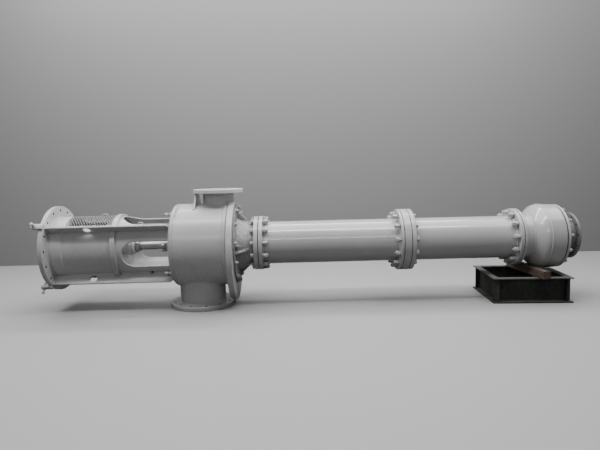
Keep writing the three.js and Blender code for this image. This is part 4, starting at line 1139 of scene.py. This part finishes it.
def makeBearing(s):
    web, webEnd = s["webStart"], s["webStart"] + s["web"]
    corners = [(s["bore"], s["start"]), (s["radius"], s["start"]), (s["radius"], web), (s["webRadius"], web),
               (s["webRadius"], webEnd), (s["radius"], webEnd), (s["radius"], s["end"] - 18),
               (s["nose"], s["end"]), (s["bore"], s["end"])]
    case = turned(softened(corners, (1, 3, 8, 1, 1, 8, 3, 3, 1), 4))
    covers = [bandRing(s["radius"] - 2, s["coverRadius"], s["coverStart"] + step, s["coverEnd"] + step, 2)
              for step in (0.0, s["coverStep"])]
    places = ringPlaces(s["coverStart"], s["screwCircle"], s["screws"], 15)
    screws = copies(hexBlock(14, 9), places, (-1, 0, 0), 4)
    makePiece("bearing_case", [case, *covers, screws], replaces=["bearing_housing"])


def makeStuffing(s):
    # the box, and the gland follower: a sleeve and a plate with an ear round each stud
    bore, boxStart, boxEnd, footEnd = s["bore"], s["glandEnd"] + 4, s["boxEnd"], s["footEnd"]
    corners = [(bore, boxStart), (s["box"], boxStart), (s["box"], boxEnd), (s["foot"], boxEnd),
               (s["foot"], footEnd), (s["spigot"], footEnd), (s["spigot"], s["end"]), (bore, s["end"])]
    box = turned(softened(corners, (1, 2, 5, 3, 1, 1, 2, 1)))
    sleeve = bandRing(bore, s["gland"] - 4, s["start"] + 22, s["glandEnd"] + 6, 1.5)
    turns = np.arange(96) * 2 * np.pi / 96
    lobes = s["gland"] + (s["box"] - s["gland"]) * np.clip(np.cos(s["studs"] * turns), 0, 1) ** 0.6
    rim = np.stack([lobes * np.cos(turns), lobes * np.sin(turns)], 1)
    points, faces = flatPlate([rim, circle(0, 0, bore, 64)], 22, 2.0)
    ears = (np.stack([points[:, 2] + s["start"] + 11, -points[:, 0], points[:, 1]], 1), faces)
    studs = ringPlaces(s["start"] - 32, s["studCircle"], s["studs"], 0)
    rods = copies(threadedRod(5, 0, 80, 2.0, 10), studs, (1, 0, 0))
    nuts = copies(hexBlock(17, 9), studs + np.array([32.0, 0, 0]), (-1, 0, 0), 6)
    places = ringPlaces(boxEnd, s["boltCircle"], s["bolts"], 22.5)
    bolts = copies(hexBlock(17, 9), places, (-1, 0, 0), 7)
    makePiece("gland_and_box", [box, sleeve, rods, nuts, bolts, ears], "machined", replaces=["stuffing_box"])


def makeRotor(s):
    seat, seatEnd, nutEnd, sleeve = s["seat"], s["seatEnd"], s["nutEnd"], s["sleeve"]
    corners = [(0, s["start"]), (seat, s["start"]), (seat, seatEnd), (sleeve - 2, seatEnd),
               (sleeve - 2, nutEnd), (sleeve, nutEnd), (sleeve, s["sleeveEnd"]),
               (s["radius"], s["sleeveEnd"]), (s["radius"], s["end"]), (0, s["end"])]
    shaft = turned(softened(corners, 1.5, closed=False), 96, closed=False)
    # the nut's rim has four notches
    angles = np.arange(144) * 2 * np.pi / 144
    notch = np.where(np.abs(np.mod(angles + 0.4, np.pi / 2) - np.pi / 4) < 0.12, 7.0, 0.0)
    x = np.array([seatEnd, seatEnd, seatEnd + 2, nutEnd - 2, nutEnd, nutEnd])
    radius = np.array([seat, s["nut"] - 2, s["nut"], s["nut"], s["nut"] - 2, seat])
    cut = radius[None] - notch[:, None] * (radius > seat)[None]
    y, z = -cut * np.cos(angles)[:, None], cut * np.sin(angles)[:, None]
    grid = np.stack([np.broadcast_to(x, cut.shape), y, z], -1)
    nut = (grid.reshape(-1, 3), gridFaces(len(angles), len(x), True, True))
    makePiece("pump_shaft", [shaft, nut], "machined", body="rotor", replaces=["shaft"])
    start, plateEnd, circle, margin = s["hubStart"], s["hubPlate"], s["boltCircle"], 14
    bore, hubEnd = seat + seatGap, s["hubEnd"]
    outside = softened(band(circle + margin, s["plateRadius"], start, plateEnd), 1.5, closed=False)
    inside = softened([(circle - margin, plateEnd), (s["hubRadius"], plateEnd), (s["hubRadius"], hubEnd),
                       (bore, hubEnd), (bore, start), (circle - margin, start)], 2, closed=False)
    hub = boltedRing(outside, inside, circle, s["bolts"], 9, 0, 7, 3)
    makePiece("coupling_half", [hub], "darkIron", body="rotor", replaces=["coupling_hub"])


def makeImpeller(s):
    # a back shroud that rises to the hub, and six swept blades between two curved flanks
    start, end, edge, bore = s["impellerStart"], s["impellerEnd"], s["impellerRadius"], s["radius"] + seatGap
    corners = [(bore, start), (edge, start), (edge, start + 14), (90, start + 26), (62, end), (bore, end)]
    shroud = softened(corners, (1, 2, 2, 14, 3, 1), 4)
    along = np.linspace(0, 1, 15)
    front = np.stack([60 + 172 * along, -8 - 36 * along + 96 * along ** 2], 1)
    back = np.stack([58 + 166 * along, 8 - 28 * along + 82 * along ** 2], 1)
    blade, faces = flatPlate([np.concatenate([front, back[::-1]])], 130, 3.0)
    parts = [turned(shroud)]
    for turn in np.arange(6) * np.pi / 3:
        across = blade[:, 0] * np.cos(turn) - blade[:, 1] * np.sin(turn)
        up = blade[:, 0] * np.sin(turn) + blade[:, 1] * np.cos(turn)
        parts.append((np.stack([blade[:, 2] + start + 73, across, up], 1), faces))
    makePiece("impeller_cast", parts, "darkIron", body="rotor", replaces=["impeller"])


makeBearing(bearing)
makeStuffing(stuffing)
makeRotor(rotor)
makeImpeller(rotor)
print("bearing, stuffing box and rotor made")


# column: head casting, pipes, flanges and their bolts

head = {"start": 1938.8, "shoulder": 1957, "end": 2134.7, "foot": 418, "cone": 292, "waist": 257,
        "waistX": 2020, "throat": 232, "bore": 216, "webs": 4, "firstWeb": -10, "webThickness": 24,
        "webReach": 366, "webEnd": 2088, "lug": (3.5, 280, 402, 1992), "rough": 2.4, "lumps": 60.0,
        "screwCircle": 394, "screws": 12, "firstScrew": 8}
column = {"radius": 228.6, "wall": 12.6, "flanges": {
    # node: start, end, radius
    "head_flange": (2135, 2179.5, 290), "pipe_1_upper_flange": (2186.5, 2227.7, 290),
    "pipe_1_lower_flange": (3674, 3700, 330), "pipe_2_upper_flange": (3783.5, 3826, 330),
    "pipe_2_lower_flange": (4919, 4953.5, 305), "bowl_flange": (4960.5, 4986, 305)},
    "pipes": {"column_pipe_1": (2228, 3674), "column_pipe_2": (3826, 4919)},
    "joints": ((2183, 290), (3703, 330), (3780, 330), (4957, 305)), "gasket": (4.5, 16),
    # round beads: place, lean, seed
    "beads": ((2229, 45, 41), (3673, -45, 42), (3827, 45, 43), (4910, -45, 44))}
bolting = {
    # each circle: nut face, direction of the studs, stud reach, far face or none, circle, flats, stud radius
    "head_joint": (2227.7, 1, 62, 2135, 260, 41, 15), "middle_joint": (3674, -1, 64, 3826, 279, 43, 15),
    "bowl_joint": (4919, -1, 66, None, 268, 44, 15), "cover": (5416, 1, 44, None, 310, 38, 14)}
spider = {"start": 3706, "end": 3777, "rim": 330, "bore": 216, "hub": 62, "hole": 37, "arm": 18}


def lumpy(points, height, grain):
    # a casting's uneven skin: three crossing waves of different length and direction
    x, y, z = points.T / grain
    swell = np.sin(1.7 * x + 2.3 * y) + np.sin(2.9 * y - 1.3 * z + 1.0) + np.sin(2.1 * z + 3.1 * x + 2.0)
    fine = np.sin(7.3 * x - 5.1 * z) * np.sin(6.1 * y + 4.7 * x)
    out = np.concatenate([np.zeros((len(points), 1)), points[:, 1:]], 1)
    out = out / np.maximum(np.linalg.norm(out, axis=1, keepdims=True), 1.0)
    return points + out * ((swell * 0.3 + fine * 0.4) * height)[:, None]


def makeHead(s):
    start, end, shoulder, webEnd, throat = s["start"], s["end"], s["shoulder"], s["webEnd"], s["throat"]
    corners = [(s["bore"], start), (s["foot"], start), (s["foot"], shoulder), (s["cone"], shoulder),
               (s["waist"], s["waistX"]), (throat + 4, webEnd), (throat, end), (s["bore"], end)]
    parts = [turned(softened(corners, (2, 4, 6, 16, 24, 20, 2, 2), 5), 240)]
    web = [(shoulder - 14, throat - 10), (shoulder - 14, s["webReach"]), (shoulder + 3, s["webReach"] - 1),
           (webEnd, throat + 8), (webEnd, throat - 10)]
    beads = []
    for k in range(s["webs"]):
        turn = s["firstWeb"] + 360 / s["webs"] * k
        parts.append(radialPlate(turn, [web], s["webThickness"], 6.0))
        along, around, out = frameAt(turn)
        for side in (-1, 1):
            foot = around * side * (s["webThickness"] / 2 + 2)
            aside = around * side * 0.7
            # on the cone, then on the foot: both ends as [along, outwards], and the open side
            runs = (((s["waistX"], s["waist"] - 2), (webEnd - 4, throat + 4), out, k),
                    ((shoulder + 1, s["cone"] + 6), (shoulder + 1, s["webReach"] - 8), along, k + 9))
            for first, last, facing, seed in runs:
                ends = [along * x + foot + out * height for x, height in (first, last)]
                beads.append(lineBead(*ends, 11, aside + facing * 0.7, seed=seed))
    lugTurn, lugStart, lugReach, lugEnd = s["lug"]
    lug = [(shoulder - 10, lugStart), (shoulder - 10, lugReach), (lugEnd, lugReach), (lugEnd, lugStart)]
    parts.append(radialPlate(lugTurn, [lug], 18, 5.0))
    rough = [(lumpy(points, s["rough"], s["lumps"]), faces) for points, faces in parts]
    makePiece("head_casting", rough + beads, "casting", replaces=["column_head"], sharp=50)
    places = ringPlaces(shoulder, s["screwCircle"], s["screws"], s["firstScrew"])
    studs = [copies(hexBlock(34, 24), places, (1, 0, 0), 31),
             copies(threadedRod(11, 20, 32), places, (1, 0, 0))]
    makePiece("head_screws", studs, "fastenerPaint")


def makeColumn(s):
    outer, inner, sides = s["radius"], s["radius"] - s["wall"], 176
    for node, (start, end, radius) in s["flanges"].items():
        disc = bandRing(inner, radius, start, end, (1, 3.5, 3.5, 1), 4, sides)
        makePiece(node + "_disc", [disc], replaces=[node])
    for node, (start, end) in s["pipes"].items():
        tube = bandRing(inner, outer, start, end, 1.0, sides=sides)
        makePiece(node + "_tube", [tube], "pipePaint", replaces=[node])
    half, sunk = s["gasket"]
    # gaskets sunk into the joints, near-black: their own dark colour together with painted shade of the gaps
    rings = [turned(band(inner + 20, radius - sunk, x - half, x + half), sides) for x, radius in s["joints"]]
    makePiece("joint_gaskets", rings, "gapShade", slot="dark_iron")
    beads = [ringBead(x, outer + 3, 10, lean, seed) for x, lean, seed in s["beads"]]
    makePiece("column_welds", beads, "weldSparklePaint")


def makeSpider(s):
    start, end, bore = s["start"], s["end"], s["bore"]
    parts = [bandRing(bore, s["rim"], start, end, (1, 3, 3, 1), 4, 176),
             bandRing(s["hole"], s["hub"], start + 4, end - 4, 3, sides=64)]
    arm = [(start + 8, 55), (end - 8, 55), (end - 8, bore + 4), (start + 8, bore + 4)]
    parts += [radialPlate(turn, [arm], s["arm"], 2.0) for turn in (90, 210, 330)]
    makePiece("spider_disc", parts, replaces=["bearing_spider"])


def makeBolting(s):
    # a washer, a nut and the stud's end at each place, and a thinner lock nut on the longer studs
    studs, firstStud = 12, 7.5
    for name, (face, side, reach, far, radius, flats, rod) in s.items():
        tall, lock = 0.7 * flats, 0.5 * flats if reach > 50 else 0.0
        disc, nut = washer(flats * 0.62, 4), hexBlock(flats, tall, 4)
        near = [(disc, 0), (nut, 51), (threadedRod(rod, tall + lock, reach, 3.0), 0)]
        if lock:
            near.append((hexBlock(flats, lock, tall + 4), 52))
        ends = [(face, side, near)]
        if far is not None:
            ends.append((far, -side, [(disc, 0), (nut, 53)]))
        parts = [copies(shape, ringPlaces(x, radius, studs, firstStud), (facing, 0, 0), seed)
                 for x, facing, shapes in ends for shape, seed in shapes]
        makePiece(name + "_bolts", parts, "fastenerPaint")


makeHead(head)
makeColumn(column)
makeSpider(spider)
makeBolting(bolting)
print("column made")


# bowl, cover and suction end

bowlShape = {"start": 4986.3, "foot": 240, "coneStart": 5095, "cone": 245, "shoulder": 5160, "full": 5205,
             "radius": 345, "end": 5381, "lip": 337, "lipLength": 16, "wall": 22, "bore": 216,
             "seams": ((5093, 247), (5228, 345.5)), "seam": 8, "coverStart": 5391, "coverEnd": 5416,
             "cover": 341, "coverBore": 165, "gasket": (290, 330)}
suction = {"start": 5416.3, "neck": 196, "foot": 230, "bore": 165, "flangeStart": 5553, "flangeEnd": 5575,
           "flange": 249, "circle": 220, "holes": 12, "holeRadius": 10, "firstHole": 7.5}


def makeBowl(s):
    # The domed cone: (1-t)^2 of its narrow end, 2t(1-t) of its shoulder and t^2 of its wide
    # end. The lip is a quarter of an ellipse.
    t = np.linspace(0, 1, 31)[:, None]
    radius, full, end, lip, length = s["radius"], s["full"], s["end"], s["lip"], s["lipLength"]
    corners = np.array([(s["cone"], s["coneStart"]), (radius, s["shoulder"]), (radius, full)], float)
    cone = (1 - t) ** 2 * corners[0] + 2 * t * (1 - t) * corners[1] + t ** 2 * corners[2]
    bend = np.linspace(0, np.pi / 2, 9)
    curl = np.stack([lip + (radius - lip) * np.cos(bend), end - length + length * np.sin(bend)], 1)
    level = np.stack([np.full(6, float(radius)), np.linspace(full + 10, end - length - 4, 6)], 1)
    inner = [(lip - s["wall"], end), (radius - s["wall"], full), (s["cone"] - s["wall"], s["coneStart"]),
             (s["bore"], s["start"])]
    shell = turned(np.concatenate([[(s["foot"], s["start"])], cone, level, curl, inner]), 192)
    makePiece("bowl_shell", [shell], "pipePaint", replaces=["bowl"])
    seams = [ringBead(x, radius, s["seam"], 0, int(x)) for x, radius in s["seams"]]
    makePiece("bowl_welds", seams, "weldSparklePaint")
    ring = bandRing(s["coverBore"], s["cover"], s["coverStart"], s["coverEnd"], (1, 2.5, 3.5, 2), 4, 192)
    makePiece("bowl_cover_ring", [ring], replaces=["bowl_cover"])
    # a gasket sunk into the cover joint, near-black: its own dark colour together with painted shade of the
    # gap
    gasket = turned(band(*s["gasket"], end - 2, s["coverStart"] + 2), 176)
    makePiece("cover_gasket", [gasket], "gapShade", slot="dark_iron")


def makeSuction(s):
    low, high, start, bore = s["flangeStart"], s["flangeEnd"], s["start"], s["bore"]
    end = low - seatGap
    corners = [(bore, start), (s["foot"], start), (s["foot"], start + 16), (s["neck"], start + 34),
               (s["neck"], end), (bore, end)]
    neck = turned(softened(corners, (1, 2, 3, 8, 2, 1), 4))
    makePiece("suction_neck_cast", [neck], "suctionIron", replaces=["suction_neck"])
    makePiece("suction_flange_disc", [drilledFlange(s, low, high, 15, 2.0)], "suctionIron",
              replaces=["suction_flange"])
    places = ringPlaces(low, s["circle"], s["holes"], s["firstHole"])
    liners = copies(holeLiner(s["holeRadius"], 0.6, high - low - 0.6), places, (1, 0, 0))
    # painted shade inside the bolt holes
    makePiece("suction_liners", [liners], "gapShade", slot="dark_iron")


makeBowl(bowlShape)
makeSuction(suction)
print("bowl end made")


# stand and timber

standFrame = {"height": 266, "length": 815, "width": 715, "webInset": 56, "web": 10, "flange": 12,
              "centre": (5057, 4), "turn": -3.6, "plateNear": 10, "plateFar": 62}
block = {"height": 84, "width": 84, "length": 740, "centre": (5104.4, -52), "turn": 4.5, "rough": 1.2}


def onFloor(points, centre, degrees, base=0.0):
    turn = np.radians(degrees)
    x = centre[0] + points[:, 0] * np.cos(turn) - points[:, 1] * np.sin(turn)
    y = centre[1] + points[:, 0] * np.sin(turn) + points[:, 1] * np.cos(turn)
    return np.stack([x, y, points[:, 2] + floorLevel + base], 1)


def makeStand(s):
    inset, web, height, lip = s["webInset"], s["web"], s["height"], s["flange"]
    corners = [(0, 0), (inset + web, 0), (inset + web, height), (0, height), (0, height - lip),
               (inset, height - lip), (inset, lip), (0, lip)]
    section = softened(corners, (1.5, 3, 3, 1.5, 1.5, 12, 12, 1.5), 4)
    signs = np.array([(-1, -1), (1, -1), (1, 1), (-1, 1)], float)
    half = np.array([s["length"] / 2, s["width"] / 2])
    plan = signs[:, None] * (half - section[:, :1])[None]
    rise = np.broadcast_to(section[None, :, 1:], plan.shape[:2] + (1,))
    points = np.concatenate([plan, rise], -1).reshape(-1, 3)
    parts = [(onFloor(points, s["centre"], s["turn"]), gridFaces(4, len(section), True, True))]
    # each corner is closed slantwise between the flanges, out to the webs' ends
    near, far, back = s["plateNear"], s["plateFar"], s["webInset"] + 8.0
    triangle = np.array([(near, far), (back, back), (far, near)], float)
    for sign in signs:
        corner = triangle if sign[0] * sign[1] > 0 else triangle[::-1]
        level = np.array([lip - 1.0, height - lip + 1.0])
        plan = np.broadcast_to(sign * (half - corner)[None], (2, 3, 2))
        rise = np.broadcast_to(level[:, None, None], (2, 3, 1))
        points = np.concatenate([plan, rise], -1).reshape(-1, 3)
        faces = [[2, 1, 0], [3, 4, 5], [0, 1, 4, 3], [1, 2, 5, 4], [2, 0, 3, 5]]
        parts.append((onFloor(points, s["centre"], s["turn"]), faces))
    nodes = [f"stand_{side}" for side in ("front", "rear", "right", "left")]
    makePiece("stand_channels", parts, "grimy", replaces=nodes)


def makeTimber(s):
    # a sawn beam: a rounded square carried along Y, a little slimmer at both ends and unevenly worn
    width, height = s["width"] / 2, s["height"]
    section = softened([(-width, 0), (width, 0), (width, height), (-width, height)], (3, 3, 4, 4), 4)
    along = np.linspace(-s["length"] / 2, s["length"] / 2, 61)
    ends = np.minimum(1, np.minimum(along - along[0], along[-1] - along) / 3 + 0.96)
    middle = np.array([0.0, height / 2])
    wear = np.sin(along / 61)[:, None] * np.sin(section[:, 0] / 17)[None] * s["rough"]
    face = (section - middle)[None] * ends[:, None, None]
    face = face * (1 - np.abs(wear)[..., None] / 100) + middle
    points = np.stack([face[..., 0], np.broadcast_to(along[:, None], face.shape[:2]), face[..., 1]], -1)
    hubs = np.array([(0, along[0], height / 2), (0, along[-1], height / 2)])
    count, last = len(section), (len(along) - 1) * len(section)
    ring, hub = np.arange(len(section)), points.shape[0] * points.shape[1]
    caps = []
    for k, start in enumerate((0, last)):
        after = start + np.roll(ring, -1)
        caps.append(np.stack([np.full(count, hub + k), start + ring, after, after], 1))
    everything = np.concatenate([points.reshape(-1, 3), hubs])
    faces = np.concatenate([gridFaces(len(along), count, False, True)] + caps)
    placed = onFloor(everything, s["centre"], s["turn"], standFrame["height"] + seatGap)
    makePiece("timber_beam", [(placed, faces)], "timber", replaces=["timber_block"])


makeStand(standFrame)
makeTimber(block)
print("stand and timber made")


# floor, wall, camera and lamps

def seenOrNot(tree, seen, unseen):
    # one shader for what the camera sees and another for the light that a surface passes on
    rays = addNode(tree, "ShaderNodeLightPath").outputs["Is Camera Ray"]
    return addNode(tree, "ShaderNodeMixShader", {0: rays, 1: unseen, 2: seen}).outputs[0]


def makeStage(s):
    floor, tree, shader = plainStage("paleFloor", s["floorTone"], s["floorRough"])
    bounce = addNode(tree, "ShaderNodeBsdfDiffuse", {"Color": grey(s["floorBounce"])})
    mix = seenOrNot(tree, shader.outputs[0], bounce.outputs[0])
    tree.links.new(mix, tree.nodes["Material Output"].inputs["Surface"])
    wall, tree, shader = plainStage("greyWall", s["wallTone"], 0.9)
    clear = addNode(tree, "ShaderNodeBsdfTransparent")
    behind = addNode(tree, "ShaderNodeNewGeometry").outputs["Backfacing"]
    mix = addNode(tree, "ShaderNodeMixShader", {0: behind, 1: shader.outputs[0], 2: clear.outputs[0]})
    tree.links.new(mix.outputs[0], tree.nodes["Material Output"].inputs["Surface"])
    r, back, top, low = s["reach"], s["wallDistance"], s["wallHeight"], -0.0008
    sheets = {"stage_floor": (((-r, -r, low), (r, -r, low), (r, r, low), (-r, r, low)), floor),
              "stage_wall": (((-r, back, low), (r, back, low), (r, back, top), (-r, back, top)), wall)}
    for name, (corners, material) in sheets.items():
        mesh = bpy.data.meshes.new(name)
        mesh.from_pydata(corners, [], [(0, 1, 2, 3)])
        mesh.materials.append(material)
        sheet = bpy.data.objects.new(name, mesh)
        bpy.context.scene.collection.objects.link(sheet)
    world = bpy.data.worlds.new("room")
    world.use_nodes = True
    tree = world.node_tree
    skies = []
    for power in (s["skyPower"], s["skyFill"]):
        sky = addNode(tree, "ShaderNodeBackground", {"Color": grey(s["skyTone"]), "Strength": power})
        skies.append(sky.outputs[0])
    tree.links.new(seenOrNot(tree, *skies), tree.nodes["World Output"].inputs["Surface"])
    bpy.context.scene.world = world


makeStage(stage)
addCamera()
addLamps()
